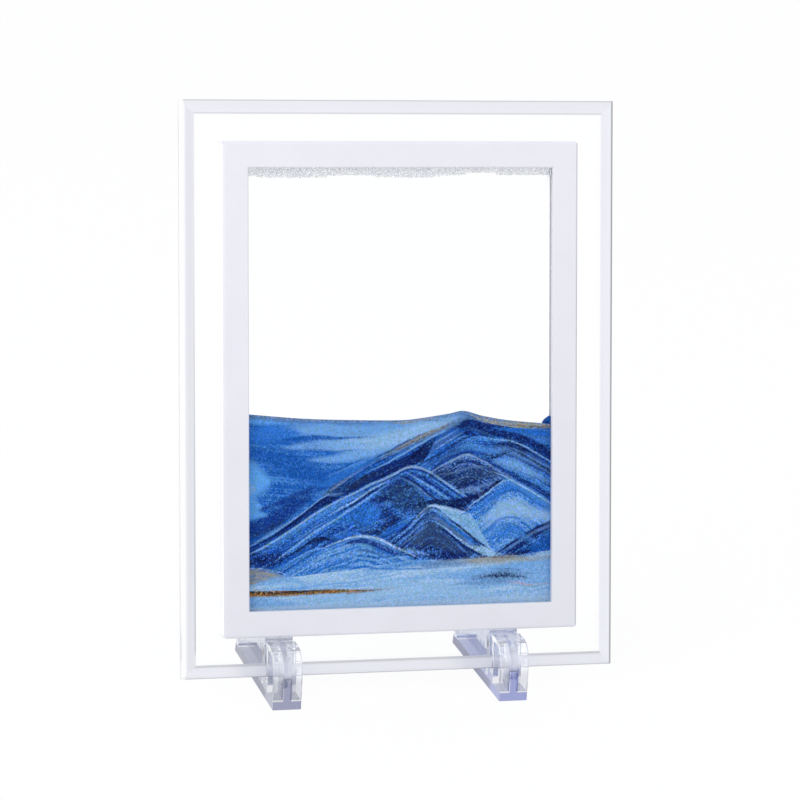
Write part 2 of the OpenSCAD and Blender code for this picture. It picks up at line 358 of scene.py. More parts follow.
def pane_place(nodes):
    """Place on the upright pane in millimetres: across, depth back from its front face, and height."""
    place = nodes.node("TexCoord", output="Object")
    return nodes.node(
        "Mapping", {"vector_type": "TEXTURE"},
        {"Vector": place, "Location": PANE_FOOT, "Rotation": (-LEAN, 0, 0), "Scale": (MM, MM, MM)},
    )


def lets_lamps_through(nodes, shader, tint):
    """The shader for what looks at a clear piece, and a plain tinted window for light on its way to the rest."""
    is_shadow = nodes.node("LightPath", output="Is Shadow Ray")
    is_diffuse = nodes.node("LightPath", output="Is Diffuse Ray")
    window = nodes.node("BsdfTransparent", {}, {"Color": colour4(tint)})
    return nodes.mix_shaders(is_shadow.math("MAXIMUM", is_diffuse), shader, window)


# Painted glow: how strongly white plastic's walls that face left glow, and how much more the rim behind the cell's
# right edge glows
WALL_GLOW, RIM_GLOW = 0.43, 0.22
# How far in from the frame's side that glowing rim starts, and how far in, and to both sides of the pane's back, the
# seam with its painted glow reaches where the frame's left wall meets the pane, in millimetres
RIM_INSET, SEAM_INSET, SEAM_HALF = 8.0, 1.5, 0.8


def plastic(name, colour, roughness, mottle=0.02, line=False, frame_bars=False):
    """Moulded plastic or rubber: a faint mottle in its colour and gloss, and a fine moulded grain.

    Walls that face left are painted with light: they glow, and so does the rim that the cell's rear glass lies on. With
    line, the spacer's walls that face left are painted grey as shade and do not glow. Frame bars are painted lighter
    towards the top. They have painted shade where their rounding turns left and round the right edge, and a painted
    glow along the seam where the frame's left wall meets the pane."""
    material, nodes = new_material(name)
    place = pane_place(nodes)
    cloud = nodes.noise(place, 0.06, detail=3.0)
    fine = nodes.noise(place, 0.9, detail=3.0, roughness=0.6)
    darker = tuple(c * (1 - 2 * mottle) for c in colour)
    lighter = tuple(min(1.0, c * (1 + mottle)) for c in colour)
    bump = nodes.node("Bump", {}, {"Strength": 0.35, "Distance": 0.02 * MM, "Height": fine})
    shade = nodes.mix(cloud, darker, lighter)
    facing, facing_back, _ = nodes.parts(nodes.node("NewGeometry", output="Normal"))
    across, back, height = nodes.parts(place)
    # Painted light: walls that face left glow
    lit = nodes.smooth(0 - facing, 0.9, 0.99)
    held = WALL_GLOW
    # The spacer's walls that face left are painted grey as shade and do not glow
    if line:
        shade = nodes.mix(lit, shade, srgb(180, 180, 186))
        held = 0.0
    if frame_bars:
        side = FRAME_W / 2
        rim = (0 - facing_back > 0.9) * (back > PANE_T) * (across > 0) * (side - across > RIM_INSET)
        held = WALL_GLOW + RIM_GLOW * rim
        # Painted light towards the top of the bars, and painted shade where their rounding turns left
        painted_shading = 0.94 + 0.06 * nodes.smooth(height, 0, 240) - 0.07 * nodes.smooth(0 - facing, 0.2, 0.5)
        shade = nodes.scaled(shade, painted_shading)
        # Painted glow along the seam where the frame's left wall meets the pane, and on the rim
        seam = (0 - across > side - SEAM_INSET) * (SEAM_HALF - back.distance(PANE_T) > 0)
        lit = lit.math("MAXIMUM", seam) * (back > 0).math("MAXIMUM", 0 - across > 0)
        lit = lit.math("MAXIMUM", rim)
        # Painted shade: a darker strip round the bars' right edge
        shade = nodes.mix(nodes.smooth(across, side - 0.8, side - 0.3), shade, srgb(180, 182, 192))
    nodes.show(nodes.principled(
        Base_Color=shade,
        Roughness=roughness - 0.05 + 0.1 * fine,
        Normal=bump,
        Emission_Color=nodes.mix(lit * held, BLACK, WHITE),
        Emission_Strength=0.7,
    ))
    return material


def clear(name, tint, ior, roughness=0.0, haze=0.0, gloss=1.0):
    """Clear glass, liquid or film. Haze is the share of it that scatters light, gloss how strongly it mirrors what is
    round it."""
    material, nodes = new_material(name)
    shader = nodes.principled(
        Base_Color=colour4(tint), Roughness=roughness, IOR=ior, Transmission_Weight=1 - haze,
        Specular_Tint=(gloss, gloss, gloss, 1.0),
    )
    passed = tuple(math.sqrt(c) for c in tint)
    nodes.show(lets_lamps_through(nodes, shader, passed))
    return material


# ---- meshes ----


def new_piece(name, mesh, body, materials, *, stands_for=()):
    """A shown piece that rides on a CAD body and takes the place of CAD nodes."""
    piece = bpy.data.objects.new(name, mesh)
    bpy.context.scene.collection.objects.link(piece)
    for material in materials:
        mesh.materials.append(material)
    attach(piece, body)
    if stands_for:
        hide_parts(*stands_for)
    return piece


def finish_mesh(name, bm, lean=True):
    """Mesh from a bmesh drawn in millimetres on the upright pane."""
    bmesh.ops.recalc_face_normals(bm, faces=bm.faces)
    bm.transform(Matrix.Scale(MM, 4))
    if lean:
        bm.transform(UPRIGHT_TO_LEANING)
    mesh = bpy.data.meshes.new(name)
    bm.to_mesh(mesh)
    bm.free()
    return mesh


def rectangle_loop(bm, width, height, depth):
    """Four corners of a rectangle centred on the pane, at a depth."""
    return [
        bm.verts.new((x * width / 2, depth, PANE_H / 2 + z * height / 2))
        for x, z in ((-1, -1), (1, -1), (1, 1), (-1, 1))
    ]


def loft(bm, loops, finishes, closed):
    """Bands of faces from each loop to the next. Finishes are each band's material number, or one for each side."""
    following = loops[1:] + loops[:1] if closed else loops[1:]
    for first, second, finish in zip(loops, following, finishes):
        for i in range(len(first)):
            j = (i + 1) % len(first)
            side = finish[i] if isinstance(finish, tuple) else finish
            bm.faces.new((first[i], first[j], second[j], second[i])).material_index = side


# ---- glass ----

FACE, BEVEL, EDGE, SHADED_EDGE = range(4)
CLEAR_STRIP = 2.0


def bevelled_pane(arris):
    """The big pane with its polished bevel, small chamfers along its edges and the window for the cell."""
    bm = bmesh.new()
    slope = BEVEL_DROP / BEVEL_W
    # Finishes go round from the lower side: lower, right, upper, left; the right side's edges are painted darker as
    # shade
    rim = (EDGE, SHADED_EDGE, EDGE, EDGE)
    sections = [
        (BEVEL_W, 0, BEVEL),
        (CLEAR_STRIP, BEVEL_DROP - CLEAR_STRIP * slope, (BEVEL, BEVEL, BEVEL, FACE)),
        (arris, BEVEL_DROP - arris * slope, rim),
        (0, BEVEL_DROP + arris, rim),
        (0, PANE_T - arris, rim),
        (arris, PANE_T, FACE),
    ]
    loops = [rectangle_loop(bm, PANE_W - 2 * inset, PANE_H - 2 * inset, depth) for inset, depth, _ in sections]
    loops += [rectangle_loop(bm, WINDOW_W, WINDOW_H, depth) for depth in (PANE_T, 0)]
    loft(bm, loops, [s[2] for s in sections] + [EDGE, FACE], closed=True)
    return finish_mesh("bevelled_pane", bm)


# Painted reflections on the bevel, from its outer to its inner border on each side: shares of its width, and greys
PAINTED_BEVEL_REFLECTIONS = {
    "left": [(0.3, 246), (0.42, 231), (0.55, 225), (0.85, 226), (1.0, 232)],
    "right": [(0.0, 165), (0.1, 168), (0.18, 250), (0.35, 249), (0.8, 247), (0.93, 250), (1.0, 255)],
    "upper": [(0.0, 210), (0.06, 235), (0.5, 237), (0.85, 239), (0.92, 212), (1.0, 234)],
    "lower": [(0.0, 208), (0.08, 236), (0.3, 242), (0.75, 240), (0.9, 200), (1.0, 222)],
}


# Where the fine dark line, a painted reflection, along the inside of the bevel's left side starts and fades out, up the
# pane
LINE_FOOT, LINE_TOP = (9, 14), (40, 235)


def left_fade(nodes, inset):
    """0 along the pane's left edge, which is painted white as light, and 1 beyond it."""
    return nodes.smooth(inset, 0.5 * CLEAR_STRIP, 1.2 * CLEAR_STRIP)


def ground_edge(name, colour, ior):
    """The ground edge of a glass, painted white as light along the pane's left side."""
    material, nodes = new_material(name)
    place = pane_place(nodes)
    inset = nodes.parts(place)[0] + PANE_W / 2
    grit = nodes.noise(place, 2.5, detail=2.0)
    shade = nodes.scaled(colour, 0.94 + 0.12 * grit)
    # Painted light: white along the pane's left side
    shade = nodes.mix(left_fade(nodes, inset), WHITE, shade)
    shader = nodes.principled(Base_Color=shade, Roughness=0.35, IOR=ior, Transmission_Weight=0.4)
    nodes.show(lets_lamps_through(nodes, shader, (0.9, 0.9, 0.9)))
    return material


def polished_bevel(tint, ior):
    """The bevel band, its colour painted with what it mirrors of pale surroundings and white as light along the pane's
    left side. It hides what is behind it.
    """
    material, nodes = new_material("polished_bevel")
    place = pane_place(nodes)
    across, _, height = nodes.parts(place)
    insets = {
        "left": across + PANE_W / 2, "right": PANE_W / 2 - across, "upper": PANE_H - height, "lower": height,
    }
    looks = {}
    # Painted reflections: a grey ramp across each side of the bevel
    for side, stops in PAINTED_BEVEL_REFLECTIONS.items():
        shades = [(p, tuple(c * t for c, t in zip(srgb(g, g, g), tint))) for p, g in stops]
        looks[side] = nodes.node("ValToRGB", {"stops": shades}, {0: insets[side] / BEVEL_W})
    # Painted reflection: a fine dark line along the inside of the bevel's left side
    line = nodes.smooth(insets["left"], 0.85 * BEVEL_W, 0.96 * BEVEL_W) * (1 - nodes.smooth(height, *LINE_TOP))
    line = line * nodes.smooth(height, *LINE_FOOT)
    colour = nodes.mix(line, looks["left"], srgb(186, 189, 198))
    colour = nodes.mix(across > 0, colour, looks["right"])
    nearest = insets["left"].math("MINIMUM", insets["right"])
    for side in ("upper", "lower"):
        colour = nodes.mix(nearest > insets[side], colour, looks[side])
    cloud = nodes.noise(place, 0.03, detail=1.0)
    colour = nodes.scaled(colour, 0.985 + 0.03 * cloud)
    # Painted light: white along the pane's left side
    colour = nodes.mix(left_fade(nodes, insets["left"]), WHITE, colour)
    shader = nodes.principled(Base_Color=colour, Roughness=0.3, IOR=ior, Transmission_Weight=0.2)
    nodes.show(lets_lamps_through(nodes, shader, tint))
    return material


def cell_plate(front, back, chamfer=0.3):
    """One cell glass with its ground chamfers."""
    bm = bmesh.new()
    sections = [
        (CELL_W - 2 * chamfer, CELL_H - 2 * chamfer, front, 1),
        (CELL_W, CELL_H, front + chamfer, 1),
        (CELL_W, CELL_H, back - chamfer, 1),
        (CELL_W - 2 * chamfer, CELL_H - 2 * chamfer, back, 0),
    ]
    loops = [rectangle_loop(bm, w, h, depth) for w, h, depth, _ in sections]
    loft(bm, loops, [s[3] for s in sections], closed=False)
    bm.faces.new(loops[0]).material_index = 0
    bm.faces.new(loops[-1]).material_index = 0
    return finish_mesh("cell_plate", bm)


class SANDPICTURE_OT_glass(bpy.types.Operator):
    """Make the bevelled pane and the two cell glasses"""

    bl_idname = "sand_picture.glass"
    bl_label = "Glass"

    def execute(self, context):
        s = settings().glass
        tint = tuple(s.tint)
        body_glass = clear("clear_glass", tint, s.ior)
        bevel = polished_bevel(tuple(s.bevel), s.ior)
        edge = ground_edge("ground_edge", tuple(s.edge), s.ior)
        # The edge painted darker as shade, for the pane's right side
        shaded_edge = ground_edge("shaded_edge", tuple(0.4 * c for c in s.edge), s.ior)
        new_piece(
            "bevelled_pane", bevelled_pane(s.arris / MM), "picture", [body_glass, bevel, edge, shaded_edge],
            stands_for=["glass_pane"],
        )
        cell = clear("cell_glass", tint, s.ior, gloss=0.06)
        hold = 0.02
        for name, (front, back) in (
            ("front_cell_plate", (CELL_FRONT[0], CELL_FRONT[1] + hold)),
            ("rear_cell_plate", (CELL_BACK[0] - hold, CELL_BACK[1])),
        ):
            node = name.replace("plate", "glass")
            new_piece(name, cell_plate(front, back), "picture", [cell, edge], stands_for=[node])
        return {"FINISHED"}


# ---- white frames and what is hidden behind them ----


class SANDPICTURE_OT_frames(bpy.types.Operator):
    """Finish the white frames, the spacer, the stopper and the adhesive rings"""

    bl_idname = "sand_picture.frames"
    bl_label = "Frames"

    def execute(self, context):
        s = settings().plastic
        finishes = {
            plastic("white_plastic", tuple(s.white), s.roughness, frame_bars=True): ["front_frame", "rear_frame"],
            plastic("spacer_plastic", srgb(244, 245, 250), 0.5, line=True): ["cell_spacer"],
            plastic("stopper_rubber", srgb(186, 188, 194), 0.7, mottle=0.05): ["filling_plug"],
            plastic("clear_adhesive", srgb(222, 224, 228), 0.3): ["front_adhesive_ring", "rear_adhesive_ring"],
        }
        for material, nodes in finishes.items():
            for name in nodes:
                dress(name, material)
        return {"FINISHED"}


def dress(name, material):
    """Gives a CAD node its finish."""
    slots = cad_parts[name].material_slots
    for slot in slots:
        slot.link = "OBJECT"
        slot.material = material


# ---- sand ----

# Sands in the picture, and the mixtures where they have run together
SANDS = {
    "ink": srgb(7, 22, 74),
    "navy": srgb(11, 33, 96),
    "indigo": srgb(16, 54, 134),
    "deep_blue": srgb(18, 83, 170),
    "blue": srgb(34, 104, 192),
    "bright_blue": srgb(44, 114, 206),
    "mid_blue": srgb(70, 132, 207),
    "azure": srgb(98, 168, 238),
    "sky": srgb(112, 164, 221),
    "pale": srgb(146, 187, 226),
    "frost": srgb(164, 197, 230),
    "charcoal": srgb(27, 49, 92),
    "plum": srgb(54, 95, 150),
    "slate": srgb(92, 129, 180),
    "gold": srgb(172, 130, 62),
    "bronze": srgb(92, 86, 82),
    "umber": srgb(38, 32, 36),
    "tan": srgb(152, 148, 134),
    "olive": srgb(146, 156, 98),
    "beige": srgb(144, 151, 152),
    "coral": srgb(194, 150, 142),
    "teal": srgb(98, 158, 192),
}


def points(text):
    """Points written as numbers, with a comma between one point and the next."""
    return [tuple(float(number) for number in point.split()) for point in text.split(",")]


# The line that each body of sand reaches up to
RIDGES = {name: points(path) for name, path in {
    "bed": "-71 41, -52 44, -20 47, 5 50, 30 50, 50 51, 71 53",
    "beige": "-71 47.5, -64 48.4, -56 46, -48 41, -40 30",
    "wave": "-71 36, -54 46, -37 56, -26 60, -16 62, -8 59, 0 54, 12 47, 22 38",
    "dark_peak": "-26 42, -14 53, 0 64, 10 72, 14.5 74, 19 72, 28 64, 37 56, 46 44",
    "right_dune": "30 40, 43 51, 52 57, 61 62, 71 67",
    "saddle": "-4 52, 8 70, 14 75, 22 74, 31 72, 40 58, 48 44",
    "bright": "16 60, 31 73, 41 80, 47 84.8, 51 85.6, 56 83.5, 63 78.5, 71 72.5",
    "mound": "-71 54, -50 66, -30 78, -14 85, -4 89, 4 92.6, 9 92.2, 18 87, 30 79, 40 70, 52 60",
    "third": "-20 70, -4 80, 12 89, 22 94, 31 97.4, 36 96, 50 88, 71 74.5",
    "second": "-40 62, -20 76, 0 89, 14 98, 25 104.5, 37 105.5, 51 103.5, 59 100, 71 93",
    "main": "-71 57.5, -54 67, -33 81, -16 92, 0 99.4, 12 105, 23 110.3, 30 114, 38 111.5, 51 109, 71 106.5",
    "crest": "-71 57.8, -40 76, -30 85.5, -16 93.4, 0 101.2, 12 106.6, 23 111.6, 28 113.8, 34 112.6, 46 107",
    "surface": "-71 116, -44 113.4, -19 112.3, 0 111.9, 9 112.5, 23 114.3, 30 115.4, 38 111.6, 46 109.4, 58 107.4, "
               "71 106",
    "veil": "-71 116.9, -44 114.3, -19 113.2, 0 112.8, 9 113.4, 23 115.3, 30 116.5, 38 114.3, 50 112, 64 110.5, "
            "71 110",
    "pile": "60 106, 65.5 109.5, 68 112.2, 71 114.2",
}.items()}
RIDGE_STEPS = 4

# One body of sand: its CAD node, its ridge, its dark, middle and light sand, how many strata there are to a
# centimetre, how far the sands stay apart, and the ridges that bound it below
Layer = namedtuple("Layer", "node ridge tones strata contrast beneath")
ORDER = ["bed", "beige", "wave", "dark_peak", "right_dune", "saddle", "bright", "mound", "third", "second", "main",
         "crest", "surface", "veil"]


def layer(node, ridge, tones, strata=6.0, contrast=1.0):
    beneath = ORDER[: ORDER.index(ridge)] if ridge in ORDER else ORDER
    return Layer(node, ridge, tones.split(), strata, contrast, beneath)


LAYERS = [
    layer("sand_bed", "bed", "sky pale frost", 4, 0.7),
    layer("sand_beige_mound", "beige", "slate beige tan", 5, 0.7),
    layer("sand_wave_dune", "wave", "blue mid_blue sky", 9, 0.85),
    layer("sand_dark_peak", "dark_peak", "navy indigo mid_blue", 9, 1.1),
    layer("sand_right_dune", "right_dune", "navy deep_blue mid_blue", 8, 1.0),
    layer("sand_pale_saddle", "saddle", "sky sky pale", 6, 0.8),
    layer("sand_bright_mountain", "bright", "blue mid_blue sky", 6, 0.9),
    layer("sand_banded_mound", "mound", "indigo deep_blue mid_blue", 8, 1.1),
    layer("sand_third_mountain", "third", "navy deep_blue slate", 7, 1.0),
    layer("sand_second_ridge", "second", "indigo blue mid_blue", 7, 1.0),
    layer("sand_main_ridge", "main", "navy indigo blue", 7, 1.0),
    layer("sand_crest_seam", "crest", "charcoal plum slate", 8, 1.0),
    layer("sand_left_wedge", "surface", "deep_blue blue mid_blue", 3.5, 0.8),
    layer("sand_surface_veil", "veil", "slate beige tan", 8, 0.9),
    layer("sand_corner_pile", "pile", "navy indigo blue", 6, 0.9),
    layer("sand_gold_seam", "bed", "umber bronze gold", 9, 1.3),
]

# Streaks of other sand: the sand, its share of the grains in the streak's middle, the width of its ragged border, and
# after the colon its path, each point with the streak's half height there
Streak = namedtuple("Streak", "sand share border path")


def read_streak(text):
    finish, path = text.split(":")
    sand, share, border = finish.split()
    return Streak(sand, float(share), float(border), points(path))


STREAKS = [read_streak(text) for text in (
    # bed
    "pale 0.7 3: -50 33 1, -30 34 3, 0 37 4, 20 36 3, 40 34 1",
    "sky 0.8 2: -71 33 3, -60 33 2.5, -50 32 1",
    "frost 0.95 1.5: -72 29.6 1.6, -30 30 1.6, 20 30.2 1.8, 72 30.6 2",
    "sky 0.8 2: 20 44 0.5, 34 42 3, 50 43 5, 71 44 6",
    "frost 0.7 0.64: -42 38.4 0.07, -30 38.4 0.29, -20 38.5 0.36, -13 38.4 0.43, -9 38 0.07",
    "mid_blue 0.6 0.6: -60 39.4 0.1, -50 39.3 0.3, -40 39 0.1",
    "beige 0.6 2.2: 4 48 0.2, 18 48.6 0.8, 30 48.9 1.4, 42 49.3 1.8, 52 49.6 1.6, 62 49.4 1, 71 50 0.6",
    "mid_blue 0.8 1.6: -16 46.6 0.3, -6 47.4 1, 4 48.6 1.3, 12 48.8 1, 22 48.4 0.1",
    "slate 0.8 1.6: 8 47.8 0.2, 15 47.8 1.2, 22 48.2 1.2, 32 48.6 0.3",
    "tan 0.6 1.6: 29 49 0.2, 36 48.9 1, 42 49.3 1.2, 49 49.8 0.9, 56 49.3 0.5, 68 48.4 0.1",
    "bronze 0.6 0.6: 34 50.2 0.1, 44 50.6 0.5, 50 50.4 0.5, 58 50 0.1",
    "charcoal 0.6 2.5: 31 40.6 0.1, 38 41.6 1, 45 42.3 1.9, 49 42.5 2, 54 41.8 1.4, 61 41 0.1",
    "ink 0.5 0.8: 38 41.4 0.1, 44 42.3 0.8, 49 42.4 0.9, 54 41.6 0.3, 57 41.2 0.1",
    "slate 0.9 0.4: 43 45.1 0.07, 50 45.3 0.25, 55 44.2 0.29, 60 42.9 0.25, 66 42.6 0.07",
    "slate 0.6 1.2: 20 38.4 0.1, 30 39.1 0.5, 38 38.8 0.9, 46 39.3 0.7, 53 39 0.1",
    "coral 0.5 0.6: 50 38.9 0.1, 55 38.6 0.5, 60 37.9 0.4, 66 37.9 0.2, 71 38 0.2",
    "teal 0.8 0.5: 55 37.5 0.1, 62 37.1 0.45, 69 37.6 0.1",
    # gold seam
    "umber 0.55 0.8: -71 37.2 1.1, -55 36.8 1, -40 36.8 0.9, -25 37 0.9, -12 37.3 0.3",
    "gold 0.4 0.8: -71 36.6 0.7, -55 36.4 0.6, -40 36.6 0.5, -25 36.8 0.5, -13 37.2 0.3",
    "bronze 0.4 0.8: -70 38.4 0.4, -50 38 0.3, -30 38 0.3, -9 37.9 0.1",
    # beige mound
    "frost 0.7 0.4: -71 47.9 0.29, -64 48.3 0.32, -58 47.3 0.22, -53 45.4 0.07",
    "sky 0.8 1.5: -66 41.5 0.5, -58 43 1.6, -50 43 1.5, -45 42 0.6",
    # wave
    "deep_blue 0.7 1.2: -60 48.6 0.8, -54 50.6 1.5, -48 54.3 1.2, -42 57 0.6, -37 58 0.1",
    "sky 0.9 0.4: -54 48.2 0.07, -48 52.5 0.36, -42 55.5 0.36, -38 56.3 0.36, -34 56.5 0.14",
    "frost 0.85 0.5: -34 57.3 0.1, -28 59.6 0.3, -22 61.2 0.4, -16 61.6 0.5, -12 60.9 0.5, -7 58.7 0.55, -2 56 0.5, "
    "2 54.3 0.35, 7 51.6 0.1",
    "indigo 0.95 0.9: -26 58.6 0.1, -22 59.2 0.9, -17 59.4 1.4, -11 57.6 1.3, -6 55.2 1.3, -2 53.3 0.9, 2 52.6 0.1",
    "teal 0.7 1: -21 57.4 0.1, -17 57.5 0.9, -12 56.6 0.2",
    "plum 0.8 0.9: -20 55.2 0.1, -15 55 0.8, -10 53.9 0.3",
    "deep_blue 0.8 0.6: -19 53 0.1, -13 52.4 0.5, -7 52 0.2",
    "sky 0.9 0.32: -24 53 0.07, -19 51.9 0.25, -13 51 0.29, -7 51 0.22, 0 51.8 0.22, 5 52 0.07",
    "blue 0.7 0.6: -50 45.5 0.1, -40 47 0.4, -33 47.8 0.35, -24 48 0.5, -15 47.5 0.4, -5 46.6 0.3, 5 46.2 0.35, "
    "15 46.6 0.1",
    # dark peak
    "ink 0.5 4: -2 57 0.5, 4 57 2, 9 58.5 5, 14 60 7, 19 57.5 6, 25 54.5 3.5, 32 53 1",
    "charcoal 0.7 3: 4 57 0.5, 10 60 3.5, 14 62.5 5, 18 59.5 4.5, 24 55.5 2",
    "slate 0.17 3: 2 56 1, 9 60 4, 14 63 6, 19 60 5, 26 55 2.5, 32 53 1",
    "plum 0.8 1.5: 8 68.6 0.4, 12 70 1.2, 16 69.8 1.4, 20 67.3 0.8, 23 65 0.2",
    "navy 0.85 1.5: 8 53 0.3, 14 52 1.4, 20 51.4 1.8, 25 51.4 1.4, 31 52.8 0.4",
    "sky 0.65 0.48: -4 59.2 0.07, 1 62.4 0.25, 6 66.5 0.36, 10 70 0.43, 12.5 72.2 0.36, 15 73.2 0.14",
    "indigo 0.9 0.5: -2 59.2 0.1, 4 63.4 0.35, 8 67 0.4, 12 70.4 0.4, 16 71.4 0.35, 20 69.4 0.2",
    "slate 0.9 0.4: 0 59.4 0.07, 5 62.4 0.29, 9 65.8 0.29, 12 67.6 0.07",
    "slate 0.7 0.5: 0 56.6 0.1, 5 60 0.4, 10 63.6 0.4, 13 65.4 0.1",
    "sky 0.6 1: -1 54.8 0.2, 4 54.4 1.1, 9 53.4 0.8, 14 52 0.1",
    "slate 0.7 0.8: 14 69.6 0.2, 18 67.8 0.8, 23 64 0.7, 28 60.2 0.6, 33 57 0.2",
    "pale 0.85 0.48: 16 67 0.07, 20 64.8 0.29, 24 61.8 0.36, 28 58.7 0.47, 32 56.1 0.54, 36 54 0.22",
    "navy 0.95 0.5: 17 65 0.1, 21 62.6 0.35, 25 59.4 0.45, 29 56.3 0.5, 34 53.4 0.3",
    "blue 0.9 0.7: 18 69.6 0.1, 23 66.3 0.7, 28 62.4 0.9, 32 59.6 0.8, 37 57 0.3",
    "sky 0.9 0.32: 20 69 0.07, 26 64.8 0.22, 31 61 0.22, 36 57.6 0.07",
    "navy 0.95 0.5: 22 69 0.1, 27 65.1 0.45, 32 61 0.55, 35 58.6 0.7, 38.5 56 0.4",
    "sky 0.7 0.6: 14 72.8 0.2, 17 71.9 0.7, 20 70.3 0.7, 23 68 0.2",
    "pale 0.85 0.8: 32 56.4 0.1, 35 54.8 1.2, 38 53.6 1.8, 41 52.6 1.8, 44 52 0.8, 47 52 0.1",
    # right dune
    "deep_blue 0.9 2: 55 51.6 0.5, 61 53 2, 66 55.5 3, 71 56.5 3",
    "slate 0.7 0.8: 46 52.6 0.1, 53 56 0.6, 58 59 0.7, 63 61.6 0.8, 71 64.2 0.8",
    "navy 0.95 0.6: 44 51.8 0.1, 50 55.3 0.5, 54 57.9 0.6, 58 60.2 0.6, 62 62.3 0.6, 71 66.2 0.6",
    "navy 0.9 0.6: 49 51.9 0.1, 54 54.1 0.6, 58 56.6 0.5, 63 59.4 0.3",
    "ink 0.9 0.8: 51 51.2 0.2, 56 52 1, 60 52.8 0.4",
    # saddle
    "frost 0.8 0.64: 5 66.5 0.07, 10 71.6 0.36, 14 74.3 0.5, 20 73.2 0.8, 26 71.6 0.5, 31 70.4 0.3",
    "navy 0.9 0.5: 23 73.9 0.1, 27 73.1 0.6, 31 72.1 0.8, 34 72.2 0.2",
    "teal 0.45 2: 18 72 0.3, 25 70 1.2, 32 67 1.5",
    # bright mountain
    "pale 0.8 4: 38 66 1, 46 71 4, 54 72 4, 63 69 2.5, 71 68.5 2",
    "mid_blue 0.6 3: 40 62 1, 47 63 3, 54 61 2",
    "bright_blue 0.9 1.4: 29 70.6 0.3, 35 72.2 1.2, 42 76.8 1.5, 47 80.4 1.8, 52 82.2 1.6, 57 80 1.2, 62 76.8 0.9, "
    "69 72.6 0.3",
    "deep_blue 0.85 0.5: 44 77 0.1, 49 80 0.4, 54 80.2 0.4, 58 77.8 0.35, 63 75 0.3, 69 71.6 0.1",
    "indigo 0.9 0.5: 30 72.6 0.2, 35 75 0.5, 40 77.9 0.4, 45 80.8 0.1",
    "pale 0.75 0.5: 30 71.9 0.1, 35 76 0.3, 40 79 0.35, 45 83.1 0.3, 50 85.1 0.3, 55 83.6 0.3, 60 80.4 0.3, "
    "66 76 0.2",
    "blue 0.7 0.5: 45 67 0.1, 50 68.3 0.25, 54 68 0.3, 59 66.2 0.1",
    "blue 0.75 0.6: 44 61.2 0.1, 49 63.4 0.3, 54 63.8 0.35, 61 63 0.1",
    "bright_blue 0.85 0.9: 40 58.6 0.1, 46 60.2 0.8, 50 62.1 0.9, 54 63.2 0.1",
    # banded mound
    "blue 0.3 4: -66 52 2, -54 58 4, -42 66 6, -34 70 4",
    "navy 0.65 3: -13 77 0.6, -8 72.5 3, -4 68.5 4, 1 66 1.6",
    "blue 0.8 4: -34 67 2, -26 71 3.5, -18 72 5, -13 72 4, -10 72 1",
    "navy 0.85 2.5: -71 51.5 2, -64 52 3.2, -58 52.6 3, -53 53.6 1",
    "charcoal 0.7 4: -7 80 2, -2 80 6, 4 79 7, 9 76 5, 13 73 1",
    "bright_blue 0.7 1.5: -18 66.5 0.5, -14 69 2, -11.5 70.5 2.2, -9.5 72 1",
    "mid_blue 0.9 1.2: -66 56 0.3, -55 61.6 1, -48 65.4 1.2, -40 70.2 1.4, -32 74.4 1.6, -26 77.6 1.3, -19 80.6 0.4",
    "pale 0.72 0.5: -70 54.2 0.1, -64 57.3 0.35, -54 63 0.45, -44 69 0.5, -36 73.8 0.45, -28 78 0.4, -20 81.7 0.4, "
    "-12 85.1 0.5, -4 88.3 0.6, 3 91.8 0.6, 8 91.9 0.6, 13 89.7 0.6, 20 85.3 0.6, 26 81.2 0.5, 30 78.6 0.2",
    "pale 0.9 0.4: -33 71 0.07, -27 74.4 0.32, -22 77.1 0.4, -16 80.6 0.36, -11 83.4 0.29, -5 86.4 0.07",
    "navy 0.95 0.6: -30 71.6 0.1, -23 75.3 0.5, -18 78.2 0.7, -13 81.2 0.6, -7 84.6 0.1",
    "sky 0.95 0.5: -57 51.8 0.1, -52 55.4 0.4, -47 59 0.45, -42 62.2 0.45, -36 65.6 0.5, -30 69.2 0.45, -24 73 0.45, "
    "-18 76.6 0.4, -12 80.3 0.3, -6 84 0.1",
    "sky 0.8 0.32: -48 60.4 0.07, -43 63.4 0.22, -38 66.4 0.18, -33 69 0.07",
    "ink 0.9 1: -57 50 0.2, -50 54.4 0.5, -45 57.4 0.6, -40 60 0.9, -36 60.6 1.1, -32 60.6 0.7, -28 61.4 0.1",
    "mid_blue 0.75 1: -61 46.6 0.2, -55 48.2 1, -50 50.6 1, -44 53.8 0.8, -38 56.6 0.2",
    "bright_blue 0.6 1.5: -35 62.6 0.3, -30 61.4 1.2, -25 62.4 1.2, -19 63.6 0.3",
    "slate 0.7 0.5: 0 87 0.1, 5 84.6 0.4, 9 82 0.5, 13 79 0.4, 16 77 0.1",
    "navy 0.9 1.2: -14 77.4 0.2, -9 77.8 1.5, -4 77.4 0.4",
    "navy 0.95 0.6: -2 88.6 0.1, 4 86.4 0.45, 8 84 0.5, 11 81.4 0.5, 14 78.8 0.5, 18 76.4 0.2",
    "sky 0.9 0.56: 2 89.6 0.07, 8 86.4 0.36, 13 83.2 0.43, 18 79.8 0.43, 23 77 0.14",
    "indigo 0.9 0.6: 4 90 0.1, 11 86.6 0.4, 17 82.6 0.4, 22 79.4 0.4, 26 77 0.1",
    "mid_blue 0.9 0.5: 7 90 0.1, 13 87.4 0.4, 19 83.4 0.4, 25 79.2 0.35, 28 77.4 0.1",
    "indigo 0.9 0.5: 9 90.8 0.1, 15 87.4 0.35, 21 83.2 0.35, 27 79 0.1",
    "ink 0.95 0.9: 7 74.6 0.2, 13 75.8 0.9, 18 75.8 1.3, 23 75.2 1.6, 27 75 2.3, 30 76 2.2, 33 76.6 0.3",
